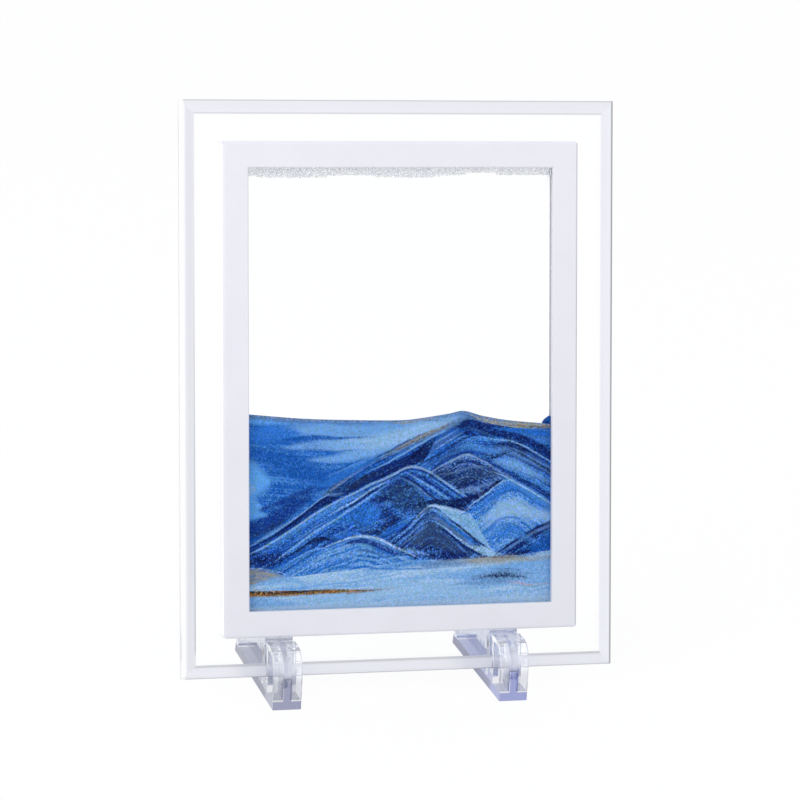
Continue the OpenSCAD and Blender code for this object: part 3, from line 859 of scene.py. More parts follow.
    "ink 0.8 1: -19 63.4 0.2, -14 63.4 0.8, -10 63.6 1.4, -7 65.6 1.5, -3 68 1, 2 70.4 0.2",
    "blue 0.75 1.5: -9 61.4 0.3, -4 63.8 1.4, 0 66.2 1.6, 5 69 0.5",
    "mid_blue 0.9 0.8: 0 67.2 0.2, 3.5 68.4 0.9, 6.5 70 0.2",
    # third mountain
    "charcoal 0.6 2: 12 87 0.5, 20 88.5 2, 28 85 3, 36 88 3, 44 88 1",
    "slate 0.7 0.72: 18 88.2 0.07, 24 88.9 0.36, 30 90.4 0.5, 37 91.6 0.36, 42 90.4 0.07",
    "navy 0.85 0.7: 19 86.2 0.1, 24 86.6 0.6, 28 87.8 0.3",
    "navy 0.85 0.8: 26 82 0.2, 30 83 0.9, 34 84.6 0.5, 37 85.2 0.1",
    "slate 0.8 0.8: 29 80.2 0.3, 35 81.6 0.8, 41 83.6 0.4",
    "ink 0.95 0.8: 28 77.2 0.3, 34 78 0.9, 38 79.3 0.8, 41 81.2 0.6, 44 83.4 0.8, 47 85.3 0.2",
    "plum 0.7 0.6: 34 86.6 0.1, 40 86.8 0.5, 45 87.6 0.1",
    "mid_blue 0.8 2.5: 46 87 0.4, 52 84.4 1.3, 60 79.6 2, 71 73 2.5",
    "pale 0.9 0.4: 43 89 0.07, 50 86 0.29, 55 83.2 0.32, 60 80.2 0.36, 65 77.2 0.32, 71 73.6 0.22",
    "pale 0.65 0.5: 14 89.3 0.1, 20 92.6 0.35, 25 94.9 0.45, 30 96.7 0.5, 34 96.2 0.5, 38 94.3 0.35, 43 91.6 0.1",
    # second ridge
    "plum 0.55 2: 16 94 0.6, 22 96.5 1.5, 28 100 1.2, 34 99.6 0.4",
    "slate 0.5 2.5: 40 98 0.6, 47 98.6 2, 54 97.4 2, 62 93.6 2, 71 88 2",
    "charcoal 0.5 2.5: 35 95.6 0.3, 41 96.4 1.6, 48 98 0.6",
    "sky 0.85 2.5: 43 93.6 0.3, 50 92.8 1.8, 55 91.6 2.2, 60 88.8 1.8, 65 86 0.8, 71 82 0.2",
    "navy 0.5 3: 50 102.4 0.3, 56 100.4 2, 63 97.4 1",
    "mid_blue 0.9 1.2: 27 100.2 0.2, 32 100.8 1.2, 37 99.8 1.5, 42 98.4 1, 47 97.4 0.1",
    "navy 0.9 0.6: 10 93.4 0.2, 16 96.6 0.5, 20 99.2 0.6, 25 101.9 0.6, 30 104.2 0.4, 34 105 0.1",
    "ink 0.9 1: 43 101.8 0.1, 49 101.4 1, 53 100.8 1.2, 57 99.2 0.9, 61 97.4 0.1",
    "charcoal 0.85 0.6: 52 99 0.1, 57 96.4 0.5, 62 93.6 0.5, 66 91 0.6, 71 88.2 0.8",
    "ink 0.85 0.6: 39 95.2 0.1, 43 95.5 0.6, 47 96.8 0.5, 52 98.3 0.1",
    "pale 0.6 0.4: 37 104.9 0.07, 45 103.4 0.22, 51 102.9 0.25, 56 101 0.29, 62 97.9 0.29, 71 92.6 0.29",
    "indigo 0.95 0.6: 37 95.3 0.1, 42 93 0.5, 46 90.7 0.7, 50 88.5 0.7, 54 86.2 0.6, 60 82.3 0.5, 66 78.6 0.5, "
    "71 75.4 0.5",
    "navy 0.85 0.5: 52 88.6 0.1, 58 84.8 0.35, 64 81 0.4, 71 77 0.4",
    # main ridge
    "deep_blue 0.85 2: 12 98.6 0.8, 17 101.5 3.4, 21 103.6 4, 26 106.8 2, 30 108.6 0.5",
    "slate 0.35 1.6: 13 99.4 0.4, 18 102.6 1.8, 22 104.6 1.8, 27 106.6 0.4",
    "sky 0.6 0.5: 10 99.6 0.1, 16 102.6 0.4, 22 106 0.4, 27 108.4 0.1",
    "sky 0.6 0.5: 14 98.4 0.1, 20 101.8 0.4, 25 104.8 0.4, 29 106.8 0.1",
    "navy 0.9 1.5: 21 108.6 0.2, 27 110.6 1.8, 31 111 2.6, 38 109 2.6, 46 107 2.2, 55 104.5 2, 63 100.5 1.8, "
    "71 96.4 1.5",
    "mid_blue 0.6 1.6: 51 107.4 0.2, 58 106 1, 64 104 1.8, 71 102.4 2.4",
    "plum 0.7 0.8: 30 109.2 0.1, 35 107.8 0.6, 41 105.8 0.3",
    "ink 0.95 0.8: -3 90.8 0.3, 3 94 1.2, 7 96 2.4, 11 98.4 3, 14 101.6 1.2, 16 104.4 0.1",
    "sky 0.9 0.5: -14 90.6 0.1, -6 94.1 0.35, 0 97.4 0.45, 6 100.4 0.45, 12 103.6 0.45, 17 106.4 0.4, 22 109.2 0.1",
    "navy 0.95 0.7: -26 80.8 0.1, -20 83.2 0.5, -15 85.6 0.7, -8 88.3 0.9, -3 90.8 1.1, 2 93 0.8",
    "ink 0.9 0.7: -64 59.6 0.2, -55 64.4 0.7, -50 67.6 0.9, -45 71 1, -40 74.3 1.2, -35 77.5 1.7, -32 78.6 1.5, "
    "-29 79 0.2",
    "charcoal 0.75 1.4: -34 81.2 0.2, -28 82.6 1.2, -22 84.8 1.7, -16 87.4 1.2, -10 90 0.2",
    "slate 0.7 0.6: -35 80.8 0.3, -31 80.4 0.6, -27 80.9 0.2",
    "sky 0.9 0.4: -68 58.8 0.14, -60 63.2 0.29, -50 69.2 0.32, -42 74.8 0.32, -36 78.9 0.29, -31 81.6 0.07",
    # left wedge
    "sky 0.97 3.5: -56 110.5 0.3, -44 109.5 2.4, -33 107 5.5, -22 104.5 7.5, -8 105 7.5, 8 108 5, 22 112 3, 29 114 1",
    "pale 0.8 3: -36 102.4 0.4, -24 102.6 2, -12 103.4 3.2, 0 106 3.2, 12 109.6 2.4, 22 112.6 1",
    "bright_blue 0.9 4: -71 106 2, -62 108 4, -54 108.5 3.5, -47 108 1",
    "azure 0.7 1.5: -72 113.8 1.4, -62 113 1.2, -52 112.4 0.3",
    "deep_blue 0.85 4.5: -71 100 1, -60 97.5 4, -50 93.5 6, -42 90 5.5, -34 88 3.5, -27 90 1",
    "indigo 0.9 2: -71 64.5 2.5, -64 67 3.6, -56 71.3 3.6, -48 76 2.6, -41 79.6 0.8",
    "charcoal 0.5 1.2: -67 63 0.4, -60 66.2 1.4, -54 69.4 0.8, -50 71.4 0.1",
    "indigo 0.85 1.3: -68 73.6 0.3, -60 75.8 0.9, -52 78.6 1.4, -45 81.2 1.5, -38 83.2 1, -32 84.4 0.2",
    "azure 0.95 5: -72 87.5 9, -67 87.5 8, -63 87 4.5, -59 86 0.4",
    "azure 0.95 3: -72 77 5, -69 77 4.4, -66 76.4 2.8, -63 75.6 0",
    "azure 0.85 1.8: -72 72 2.4, -66 72.4 1.7, -61 72 0.2",
    "pale 0.5 2: -72 84 4, -69 84 3, -66 84 0.5",
    "deep_blue 0.9 1: -56 104.4 0.1, -50 105.4 0.7, -44 105.9 1.2, -37 105.9 1.1, -30 105.6 0.7, -22 105.6 0.3, "
    "-12 105.9 0.1",
    "sky 0.8 1.8: -54 101.6 0.2, -45 102.2 1.6, -36 102.4 2, -28 102.4 1.4",
    "blue 0.6 0.8: -46 99.4 0.1, -35 99.1 0.6, -26 99.7 0.4, -16 100.6 0.1",
    "sky 0.9 1.6: -42 96 0.2, -32 96.4 1.4, -22 97.2 1.9, -12 98.6 0.6",
    "deep_blue 0.8 0.7: -41 88.8 0.1, -31 91 0.45, -24 93.2 0.5, -17 96.2 0.1",
    "mid_blue 0.9 0.8: -34 88.6 0.1, -27 91 0.5, -20 93.8 0.6, -12 97 0.2",
    "blue 0.9 1.6: -39 83.6 0.4, -30 87.2 1.8, -22 90.4 1.8, -14 94 1, -8 96.8 0.1",
    "indigo 0.85 0.6: -16 94.2 0.1, -8 98 0.4, -2 100.9 0.5, 3 103.4 0.5, 8 105.4 0.4, 12 107 0.1",
    # crest seam
    "tan 0.2 0.8: -34 82 0.1, -28 85.5 0.4, -20 90.4 0.3, -12 94.6 0.1",
    "bronze 0.7 0.9: -7 97.6 0.1, -2 100 0.4, 4 102.5 0.8, 10 105.1 0.9, 16 107.7 0.9, 21 110.1 0.7, 26 112.6 0.3",
    "tan 0.5 0.8: -3 100 0.1, 4 103 0.6, 10 105.6 0.7, 16 108.2 0.6, 21 110.6 0.4, 25 112.6 0.1",
    "slate 0.8 1: 20 110 0.1, 25 112 0.8, 30 113.6 0.8, 36 112.4 0.4",
    # surface veil
    "slate 0.9 1.2: -72 116.4 1.5, -50 114.4 1.5, -30 113.4 1, -12 112.9 0.8, 4 112.8 0.5",
    "tan 0.7 0.6: -3 112 0.1, 2 111.9 0.5, 8 112.4 0.2, 16 113.6 0.1",
    "slate 0.7 0.8: 14 114 0.3, 24 115.2 0.7, 31 115.8 0.9, 36 114.3 0.4",
    "olive 0.6 0.8: 50 109.6 0.1, 56 108.6 0.6, 61 108 0.3",
    "bronze 0.7 0.6: 50 109.9 0.1, 58 109 0.4, 64 108.8 0.5, 71 109 0.4",
    "blue 0.95 0.6: 42 109 0.1, 50 107.9 0.8, 58 106.9 1.3, 71 106.2 2.1",
)]

HEIGHT_SPAN, ACROSS_SPAN, WIDTH_SPAN = 128.0, 144.0, 12.0


def smooth_line(points):
    """The points with smooth bends between them, as the CAD source draws a ridge."""
    p = np.array(points, float)
    out = []
    for i in range(len(p) - 1):
        a, b, c, d = p[max(i - 1, 0)], p[i], p[i + 1], p[min(i + 2, len(p) - 1)]
        bend, turn = 2 * a - 5 * b + 4 * c - d, 3 * b - 3 * c + d - a
        for t in np.arange(RIDGE_STEPS) / RIDGE_STEPS:
            out.append(0.5 * (2 * b + (c - a) * t + bend * t**2 + turn * t**3))
    return np.array([*out, p[-1]])


LINES = {name: smooth_line(points) for name, points in RIDGES.items()}


def height_at(ridge, across):
    """Height of a ridge, and nothing beyond its ends."""
    line = LINES[ridge]
    return np.interp(across, line[:, 0], line[:, 1], left=0, right=0)


def touches(streak, one):
    """True if a streak reaches into a body of sand. The gold seam takes no other sand."""
    if one.node == "sand_gold_seam" and streak.sand not in one.tones:
        return False
    path = np.array(streak.path, float)
    across = np.arange(path[0, 0], path[-1, 0], 0.5)
    middle = np.interp(across, path[:, 0], path[:, 1])
    half = np.interp(across, path[:, 0], path[:, 2]) + streak.border / 2
    top = height_at(one.ridge, across)
    foot = np.max([height_at(r, across) for r in one.beneath] or [0 * across], axis=0)
    return bool(np.any((top > foot) & (middle - half < top) & (middle + half > foot)))


def curve_over(nodes, across, points, span, straight=False):
    """A line given by points, read at a place across the picture, in millimetres."""
    scaled = [((u + ACROSS_SPAN / 2) / ACROSS_SPAN, v / span) for u, v in points]
    made = nodes.node("FloatCurve", {"points": scaled}, {"Value": across})
    if straight:
        for point in made.socket.node.mapping.curves[0].points:
            point.handle_type = "VECTOR"
        made.socket.node.mapping.update()
    return made * span


# How far the strata drift in wide bends and shake in small ones, for each millimetre of wander
DRIFT, SHAKE = 3.0, 0.35
# How strongly the strata, the strands in them and the single grains move a sand's tone
STRATA_PULL, STRANDS_PULL, GRAINS_PULL = 4.0, 2.5, 1.3
# Threads of light and of dark sand: the level they follow, their sand among the body's tones, and their weight
THREADS = ((0.46, 2, 0.5), (0.56, 0, 0.8))
# How widely the grains of a streak scatter
SCATTER = 0.7


def sand(one, grain, glitter, wander):
    """Material of one body of sand: strata along its ridge, streaks of other sand, and single grains."""
    material, nodes = new_material(one.node)
    seed = LAYERS.index(one)
    place = pane_place(nodes)
    drift = nodes.scaled(nodes.noise(place, 0.09, output="Color"), DRIFT * wander)
    shake = nodes.scaled(nodes.noise(place, 0.9, output="Color"), SHAKE * wander)
    moved = nodes.vector("SUBTRACT", nodes.vector("ADD", drift, shake), ((DRIFT + SHAKE) / 2 * wander,) * 3)
    across, _, height = nodes.parts(nodes.vector("ADD", place, moved))
    level = across / ACROSS_SPAN + 0.5

    cells = nodes.node("TexVoronoi", {}, {"Vector": place, "Scale": 1 / grain}, "Color")
    toss = [nodes.node("SeparateColor", {}, {0: cells}, i) for i in range(3)]
    scatter = [SCATTER / 2 - toss[i] * SCATTER for i in (1, 2)]

    depth = curve_over(nodes, level, RIDGES[one.ridge], HEIGHT_SPAN) - height

    def drawn_out(along, through, start, detail=1.0):
        """Noise drawn out along the strata: how often it changes along and through them, and where it starts."""
        return nodes.noise(nodes.joined(across * along, depth * through, start), 1.0, detail=detail)

    bands = drawn_out(0.022, one.strata / 14, 0.37 * seed, detail=2.0)
    strands = drawn_out(0.018, 1.5, 0.53 * seed)
    tone = 0.5
    for pattern, pull in ((bands, STRATA_PULL), (strands, STRANDS_PULL), (toss[0], GRAINS_PULL)):
        tone = tone + (pattern - 0.5) * (pull * one.contrast)
    stops = [(0.12 + 0.38 * i, SANDS[name]) for i, name in enumerate(one.tones)]
    colour = nodes.node("ValToRGB", {"stops": stops}, {0: tone})

    threads = drawn_out(0.012, 0.6, 3.1 + 0.37 * seed)
    for followed, tone_number, weight in THREADS:
        thread = (1 - threads.distance(followed) * 45).clamped()
        taken = (thread * (1 + scatter[0])).clamped() * (weight * one.contrast)
        colour = nodes.mix(taken, colour, SANDS[one.tones[tone_number]])

    for number, streak in enumerate(STREAKS):
        if touches(streak, one):
            line = curve_over(nodes, level, [(u, v) for u, v, _ in streak.path], HEIGHT_SPAN)
            half = curve_over(nodes, level, [(u, w) for u, _, w in streak.path], WIDTH_SPAN, straight=True)
            run, rise = (streak.path[-1][i] - streak.path[0][i] for i in (0, 1))
            off_line = height.distance(line) * (run / math.hypot(run, rise))
            inside = (half - off_line) / streak.border + 0.5
            held = inside.clamped() * (half / (0.25 * streak.border)).clamped()
            taken = held * (streak.share + scatter[number % 2])
            colour = nodes.mix(taken.clamped(), colour, SANDS[streak.sand])

    # Single grains stand out more where the sands have stayed apart
    speckle = 1.9 * one.contrast - 1.1
    hue = nodes.node(
        "VectorMath", {"operation": "MULTIPLY_ADD"},
        {0: cells, 1: (0.4 * speckle + 0.1,) * 3, 2: (0.95 - 0.2 * speckle,) * 3},
    )
    shade = nodes.scaled(nodes.vector("MULTIPLY", colour, hue), (toss[2] - 0.5) * speckle + 1.0)
    shade = nodes.mix((toss[1] > (1 - glitter)) * (0.3 * speckle), shade, SANDS["sky"])
    closeness = nodes.node("TexVoronoi", {}, {"Vector": place, "Scale": 1 / grain}, "Distance")
    bump = nodes.node("Bump", {"invert": True}, {"Strength": 0.3, "Distance": 0.1 * MM, "Height": closeness})
    nodes.show(nodes.principled(
        Base_Color=shade, Roughness=0.75 + 0.2 * toss[0], Normal=bump, Specular_IOR_Level=0.06,
    ))
    return material


class SANDPICTURE_OT_sand(bpy.types.Operator):
    """Finish the strata of sand"""

    bl_idname = "sand_picture.sand"
    bl_label = "Sand"

    def execute(self, context):
        s = settings().sand
        for one in LAYERS:
            dress(one.node, sand(one, s.grain / MM, s.glitter, s.wander / MM))
        return {"FINISHED"}


# ---- liquid and froth ----

FROTH_EDGE = points(
    "-70.1 221.4, -64 221.3, -58 220.9, -50 220.8, -42 221, -34 221.2, -22 221.8, -14 221.5, -6 221.1, 4 220.9, "
    "14 221, 22 221.5, 30 222.5, 38 222.8, 44 222.6, 48 221.9, 56 221.7, 64 221.8, 70.1 221.7"
)


def froth_edge(across):
    """Height of the froth's lower edge."""
    edge = np.array(FROTH_EDGE)
    return float(np.interp(across, edge[:, 0], edge[:, 1]))


def liquid_body(lap):
    """The liquid between the sand's surface and the froth. It laps into what holds it, so that no gap shows."""
    bm = bmesh.new()
    steps = np.linspace(-HOLLOW_HALF - lap, HOLLOW_HALF + lap, 120)
    low = [max(float(height_at("veil", u)), float(height_at("pile", u))) - lap for u in steps]
    high = [froth_edge(u) + 2 * lap for u in steps]
    outline = [(u, v) for u, v in zip(steps, low)] + [(u, v) for u, v in zip(steps[::-1], high[::-1])]
    gap = 0.03
    loops = [
        [bm.verts.new((u, depth, v)) for u, v in outline] for depth in (CELL_FRONT[1] + gap, CELL_BACK[0] - gap)
    ]
    loft(bm, loops, [0], closed=False)
    for loop in loops:
        bm.faces.new(loop)
    return finish_mesh("liquid_body", bm)


# A bubble's depth as a share of its width, and the step between rows as a share of the usual size
FLATNESS, ROW_STEP = 0.7, 0.82
# The height that no row lies below, the gap between a bubble and its glass, and how deep in the cell the webs lie, the
# greyer sheets that paint the shade between the bubbles
LOWEST_ROW, GLASS_GAP, SHADE_WEB_DEPTH = 220.4, 0.06, 0.5


def bubbles(size, seed):
    """Bubbles packed against both cell glasses, on a thin greyer web of film that paints the shade between them."""
    draw = random.Random(seed)
    bm = bmesh.new()
    front, back = CELL_FRONT[1], CELL_BACK[0]
    for side in (0, 1):
        row = 0
        v = HOLLOW_ROOF - 0.45 * size
        while v > LOWEST_ROW:
            u = -HOLLOW_HALF + 0.5 * size + (row % 2) * 0.5 * size
            while u < HOLLOW_HALF - 0.4 * size:
                radius = 0.5 * size * draw.uniform(0.72, 1.12)
                x, z = u + draw.uniform(-0.2, 0.2) * size, v + draw.uniform(-0.16, 0.16) * size
                x = min(max(x, -HOLLOW_HALF + radius), HOLLOW_HALF - radius)
                z = min(z, HOLLOW_ROOF - radius)
                if z > froth_edge(x) + 0.1 * size:
                    off_glass = GLASS_GAP + FLATNESS * radius
                    depth = front + off_glass if side == 0 else back - off_glass
                    shape = Matrix.Diagonal((1, FLATNESS, draw.uniform(0.85, 1), 1))
                    place = Matrix.Translation((x, depth, z)) @ shape
                    bmesh.ops.create_icosphere(bm, subdivisions=2, radius=radius, matrix=place)
                u += size * draw.uniform(0.9, 1.08)
            v -= ROW_STEP * size
            row += 1
    for face in bm.faces:
        face.smooth = True
    steps = np.linspace(-HOLLOW_HALF + 0.05, HOLLOW_HALF - 0.05, 150)
    outline = [(u, froth_edge(u) + 0.25 + 0.2 * math.sin(5 * u)) for u in steps]
    outline += [(u, HOLLOW_ROOF - 0.05) for u in steps[::-1]]
    loops = [[bm.verts.new((u, depth, v)) for u, v in outline] for depth in (front + SHADE_WEB_DEPTH, back - SHADE_WEB_DEPTH)]
    loft(bm, loops, [1], closed=False)
    for loop in loops:
        bm.faces.new(loop).material_index = 1
    return finish_mesh("bubbles", bm)


# How far the bubbles' girdles, painted greyer as shade, lie from the middle of the cell, and the film's index of
# refraction
GIRDLE, FILM_IOR = 1.48, 1.05


def bubble_film(tint):
    """Film of the bubbles, with painted shade that makes it greyer round each girdle than elsewhere."""
    material, nodes = new_material("froth_film")
    depth = nodes.parts(pane_place(nodes))[1]
    from_middle = depth.distance((CELL_FRONT[1] + CELL_BACK[0]) / 2)
    # Painted shade: greyer round each girdle
    colour = nodes.mix(nodes.smooth(from_middle.distance(GIRDLE), 0.2, 0.36), (0.95, 0.96, 0.97), tint)
    shader = nodes.principled(Base_Color=colour, IOR=FILM_IOR, Transmission_Weight=0.9)
    nodes.show(lets_lamps_through(nodes, shader, tint))
    return material


class SANDPICTURE_OT_liquid(bpy.types.Operator):
    """Make the liquid and the froth of bubbles above it"""

    bl_idname = "sand_picture.liquid"
    bl_label = "Liquid and froth"

    def execute(self, context):
        s = settings().froth
        water = clear("clear_liquid", (0.998, 0.999, 1.0), 1.33, gloss=0.06)
        new_piece(
            "liquid_body", liquid_body(0.05), "picture", [water], stands_for=["clear_liquid"],
        )
        film = bubble_film(tuple(s.film))
        # A greyer web of film between the bubbles, which paints their shade
        web = clear("froth_shade_web", tuple(c * c for c in s.film), FILM_IOR, roughness=0.3, haze=0.1)
        new_piece(
            "bubbles", bubbles(s.bubble / MM, s.seed), "picture", [film, web],
            stands_for=["bubble_froth"],
        )
        return {"FINISHED"}


# ---- feet ----

# Where one zone of a foot's painted light and shade passes into the next, in millimetres: up from the floor, back from
# the middle of the footprint, and out from the middle of the foot
SOLE_TOP, GLOW_FOOT, LIP_FOOT, WEB_TOP = (3.6, 4.4), (11, 15), (13, 17), (15, 19)
WEB_BACK, TOE_BACK = (-36.5, -34), (-27, -22)
WEB_HALF, FLANK = 2.1, (5.9, 6.3)
# Colours of the left foot, and what the right foot's blue adds to them: shares of the tint in the sole and the web,
# darkened there as painted shade, shares of it above them, and the front, paler as painted light
SOLE_AND_WEB_SHADE = (0.18, 0.19, 0.32), (0.01, 0.03, 0.25)
MIDDLING = (0.97, 0.99, 0.98), (-0.05, -0.02, 0.06)
FRONT_LIGHT = (0.70, 0.71, 0.76), (0.06, 0.06, 0.05)


def moulding(name, middle, tint, ior, blue):
    """Clear moulding, its colour painted with light and shade. It is deeper along the sole and the middle web as
    painted shade, and paler at the front as painted light. It has painted glints in the front lip's curve, a painted
    glow in the upper front and a dark grey left flank along the sole as painted shade. Blue is 0 for the left foot's
    lilac and 1 for the right foot's."""
    material, nodes = new_material(name)
    place = nodes.node("TexCoord", output="Object")
    across, back, height = (part / MM for part in nodes.parts(place))
    across = across - middle / MM
    deep, middling, pale = (tuple(c + more * blue for c, more in zip(*pair)) for pair in (SOLE_AND_WEB_SHADE, MIDDLING, FRONT_LIGHT))
    deep, middling = (tuple(c * t for c, t in zip(tint, share)) for share in (deep, middling))
    toe = 1 - nodes.smooth(back, *TOE_BACK)
    web = nodes.smooth(WEB_HALF - across.math("ABSOLUTE"), 0, 0.4) * (1 - nodes.smooth(height, *WEB_TOP))
    web = web * (1 - nodes.smooth(back, *WEB_BACK))
    sole = 1 - nodes.smooth(height, *SOLE_TOP)
    # Painted light on the front, and painted shade along the sole and the web
    colour = nodes.mix(toe, middling, pale)
    colour = nodes.mix(sole.math("MAXIMUM", web), colour, deep)
    flank = nodes.smooth(0 - across, *FLANK) * sole * (1 - toe)
    streaked = nodes.node(
        "Mapping", {}, {"Vector": place, "Scale": (900, 250, 260), "Rotation": (0, 0.15, 0)},
    )
    # Painted highlights: glints in the front lip's curve
    glint = nodes.smooth(nodes.noise(streaked, 1.0, roughness=0.6), 0.42, 0.6)
    lip = nodes.smooth(height, *LIP_FOOT) * toe
    colour = nodes.mix(lip, colour, nodes.mix(glint, (0.86, 0.88, 0.92), WHITE))
    waves = nodes.noise(place, 180.0, detail=1.0)
    bump = nodes.node("Bump", {}, {"Strength": 1.0, "Distance": 0.12 * MM, "Height": waves})
    # Painted light: the upper front glows
    glow = nodes.mix(nodes.smooth(height, *GLOW_FOOT) * toe, BLACK, WHITE)
    body = nodes.principled(
        Base_Color=colour, Roughness=0.03, IOR=ior, Transmission_Weight=0.94, Normal=bump,
        Emission_Color=glow, Emission_Strength=0.05,
    )
    # Painted shade: the sole's left flank turns dark grey
    shaded = nodes.principled(Base_Color=(0.36, 0.37, 0.43 + 0.03 * blue, 1.0), Roughness=0.5, IOR=1.1)
    shader = nodes.mix_shaders(flank * 0.85, body, shaded)
    nodes.show(lets_lamps_through(nodes, shader, (0.93, 0.93, 0.96)))
    return material


class SANDPICTURE_OT_feet(bpy.types.Operator):
    """Round the edges of the clear feet and finish them"""

    bl_idname = "sand_picture.feet"
    bl_label = "Feet"

    def execute(self, context):
        s = settings().foot
        for name, blue in (("left_foot", 0.0), ("right_foot", 1.0)):
            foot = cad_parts[name]
            low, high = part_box(name)
            dress(name, moulding(name + "_moulding", (low[0] + high[0]) / 2, tuple(s.tint), s.ior, blue))
            flat = foot.modifiers.new("Flat faces", "DECIMATE")
            flat.decimate_type, flat.angle_limit = "DISSOLVE", math.radians(1)
            edges = foot.modifiers.new("Rounded edges", "BEVEL")
            edges.width, edges.segments, edges.angle_limit = s.rounding, 2, math.radians(35)
        return {"FINISHED"}


# ---- stage ----

FLOOR_HALF = 6.0
# The floor's own light and its share beside the light that the floor returns, as mirrored and as the camera sees it
MIRRORED_GLOW, MIRRORED_SHARE = 1.035, 0.88
SEEN_GLOW, SEEN_SHARE = 1.127, 0.6
# The share of the floor that the camera sees through, which shows feet that have been drawn off downwards
FLOOR_CLEARNESS = 0.7
# The middle of the camera's view: its height, and how far it is moved aside and up
VIEW_HEIGHT, VIEW_RIGHT, VIEW_UP = 0.13, -6.63 * MM, 6.51 * MM


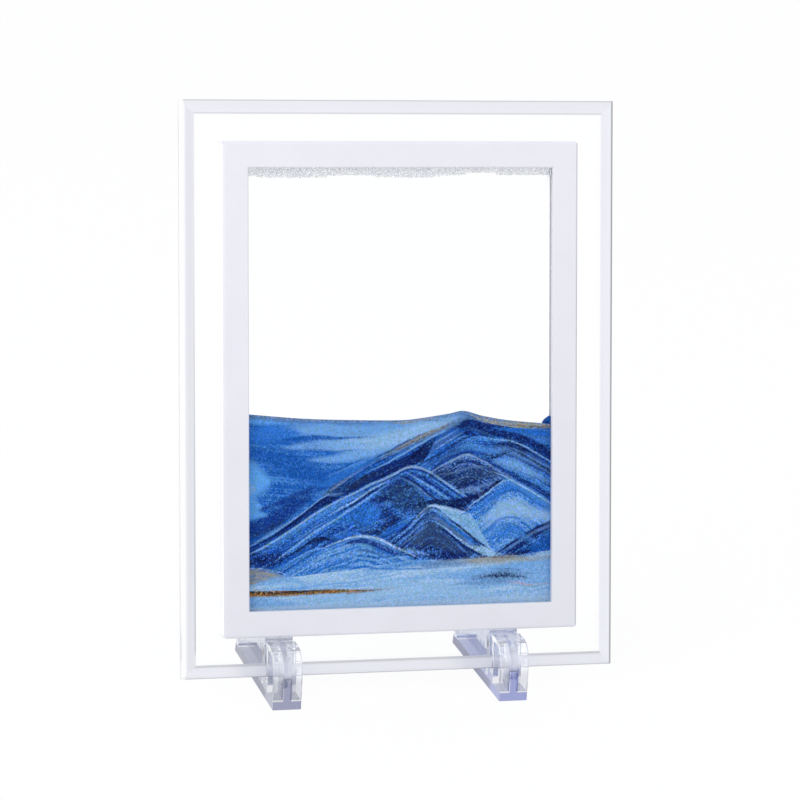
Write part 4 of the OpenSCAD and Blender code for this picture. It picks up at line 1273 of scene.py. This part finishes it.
class SANDPICTURE_OT_stage(bpy.types.Operator):
    """Set the floor, the soft light and the camera"""

    bl_idname = "sand_picture.stage"
    bl_label = "Stage"

    def execute(self, context):
        s = settings().stage
        scene = context.scene
        scene.view_settings.view_transform = "Standard"
        self.add_floor(scene)
        self.add_surroundings(scene, s.light)
        self.add_soft_box(scene, "soft_box", (-1.3, -0.9, 1.1), s.key)
        self.add_soft_box(scene, "side_box", (-1.7, 0.15, 0.35), s.side)
        self.add_camera(scene, s)
        return {"FINISHED"}

    def looked_at(self, nodes):
        """1 for rays that show a thing to the camera, straight or by way of glass or a mirror."""
        rays = [nodes.node("LightPath", output=f"Is {kind} Ray") for kind in ("Camera", "Glossy", "Transmission")]
        return rays[0].math("MAXIMUM", rays[1]).math("MAXIMUM", rays[2])

    def add_floor(self, scene):
        """A pale floor that lights the picture from below. The camera sees through most of it."""
        bm = bmesh.new()
        bmesh.ops.create_grid(bm, x_segments=8, y_segments=8, size=FLOOR_HALF)
        mesh = bpy.data.meshes.new("floor")
        bm.to_mesh(mesh)
        bm.free()
        floor = bpy.data.objects.new("floor", mesh)
        scene.collection.objects.link(floor)
        material, nodes = new_material("pale_floor")
        paper = nodes.node("BsdfDiffuse", {}, {"Color": (0.86, 0.86, 0.87, 1)})

        def glowing(share, power):
            return nodes.mix_shaders(
                share, paper, nodes.node("Emission", {}, {"Color": colour4(WHITE), "Strength": power}),
            )

        mirrored = glowing(self.looked_at(nodes) * MIRRORED_SHARE, MIRRORED_GLOW)
        below = nodes.node("BsdfTransparent", {}, {"Color": colour4(WHITE)})
        seen = nodes.mix_shaders(FLOOR_CLEARNESS, glowing(SEEN_SHARE, SEEN_GLOW), below)
        nodes.show(nodes.mix_shaders(nodes.node("LightPath", output="Is Camera Ray"), mirrored, seen))
        mesh.materials.append(material)

    def add_surroundings(self, scene, strength):
        world = bpy.data.worlds.new("surroundings")
        scene.world = world
        nodes = Nodes(world)
        looked_at = self.looked_at(nodes)
        colour = nodes.mix(looked_at, (0.97, 0.98, 1.0), WHITE)
        power = looked_at * (1 - strength) + strength
        background = nodes.node("Background", {}, {"Color": colour, "Strength": power})
        nodes.node("OutputWorld", {}, {"Surface": background})

    def add_soft_box(self, scene, name, place, power):
        lamp = bpy.data.lights.new(name, "AREA")
        lamp.shape, lamp.size, lamp.size_y, lamp.energy = "RECTANGLE", 1.0, 1.2, power
        box = bpy.data.objects.new(name, lamp)
        box.location = place
        box.rotation_euler = (Vector((0, 0, VIEW_HEIGHT)) - box.location).to_track_quat("-Z", "Y").to_euler()
        scene.collection.objects.link(box)

    def add_camera(self, scene, s):
        data = bpy.data.cameras.new("camera")
        data.sensor_width, data.lens = 36.0, s.focal
        camera = bpy.data.objects.new("camera", data)
        scene.collection.objects.link(camera)
        scene.camera = camera
        a, e = s.azimuth, s.elevation
        back = Vector((math.sin(a) * math.cos(e), -math.cos(a) * math.cos(e), math.sin(e)))
        right = Vector((math.cos(a), math.sin(a), 0))
        up = back.cross(right)
        turned_right = math.cos(s.roll) * right + math.sin(s.roll) * up
        turned_up = math.cos(s.roll) * up - math.sin(s.roll) * right
        middle = Vector((0, PANE_FOOT.y, VIEW_HEIGHT)) + VIEW_RIGHT * turned_right + VIEW_UP * turned_up
        axes = Matrix((turned_right, turned_up, back)).transposed().to_4x4()
        camera.matrix_world = Matrix.Translation(middle + back * s.distance) @ axes


# ---- panel and registration ----

PIECES = [SANDPICTURE_OT_glass, SANDPICTURE_OT_frames, SANDPICTURE_OT_sand, SANDPICTURE_OT_liquid,
          SANDPICTURE_OT_feet, SANDPICTURE_OT_stage]


class SANDPICTURE_PT_panel(bpy.types.Panel):
    """Lists the pieces of the sand picture"""

    bl_idname = "SANDPICTURE_PT_panel"
    bl_label = "Sand Picture"
    bl_space_type = "VIEW_3D"
    bl_region_type = "UI"
    bl_category = "Sand Picture"

    def draw(self, context):
        for group in ("glass", "plastic", "sand", "froth", "foot", "stage"):
            box = self.layout.box()
            values = getattr(context.scene.sand_picture, group)
            for name in values.bl_rna.properties.keys():
                if name not in ("rna_type", "name"):
                    box.prop(values, name)
        for piece in PIECES:
            self.layout.operator(piece.bl_idname)


CLASSES = [GlassSettings, PlasticSettings, SandSettings, FrothSettings, FootSettings, StageSettings,
           SandPictureSettings, *PIECES, SANDPICTURE_PT_panel]


def register():
    for cls in CLASSES:
        bpy.utils.register_class(cls)
    bpy.types.Scene.sand_picture = PointerProperty(type=SandPictureSettings)


def unregister():
    del bpy.types.Scene.sand_picture
    for cls in reversed(CLASSES):
        bpy.utils.unregister_class(cls)


def main():
    register()
    bpy.ops.sand_picture.stage()
    bpy.ops.sand_picture.glass()
    bpy.ops.sand_picture.frames()
    bpy.ops.sand_picture.sand()
    bpy.ops.sand_picture.liquid()
    bpy.ops.sand_picture.feet()


if __name__ == "__main__":
    main()
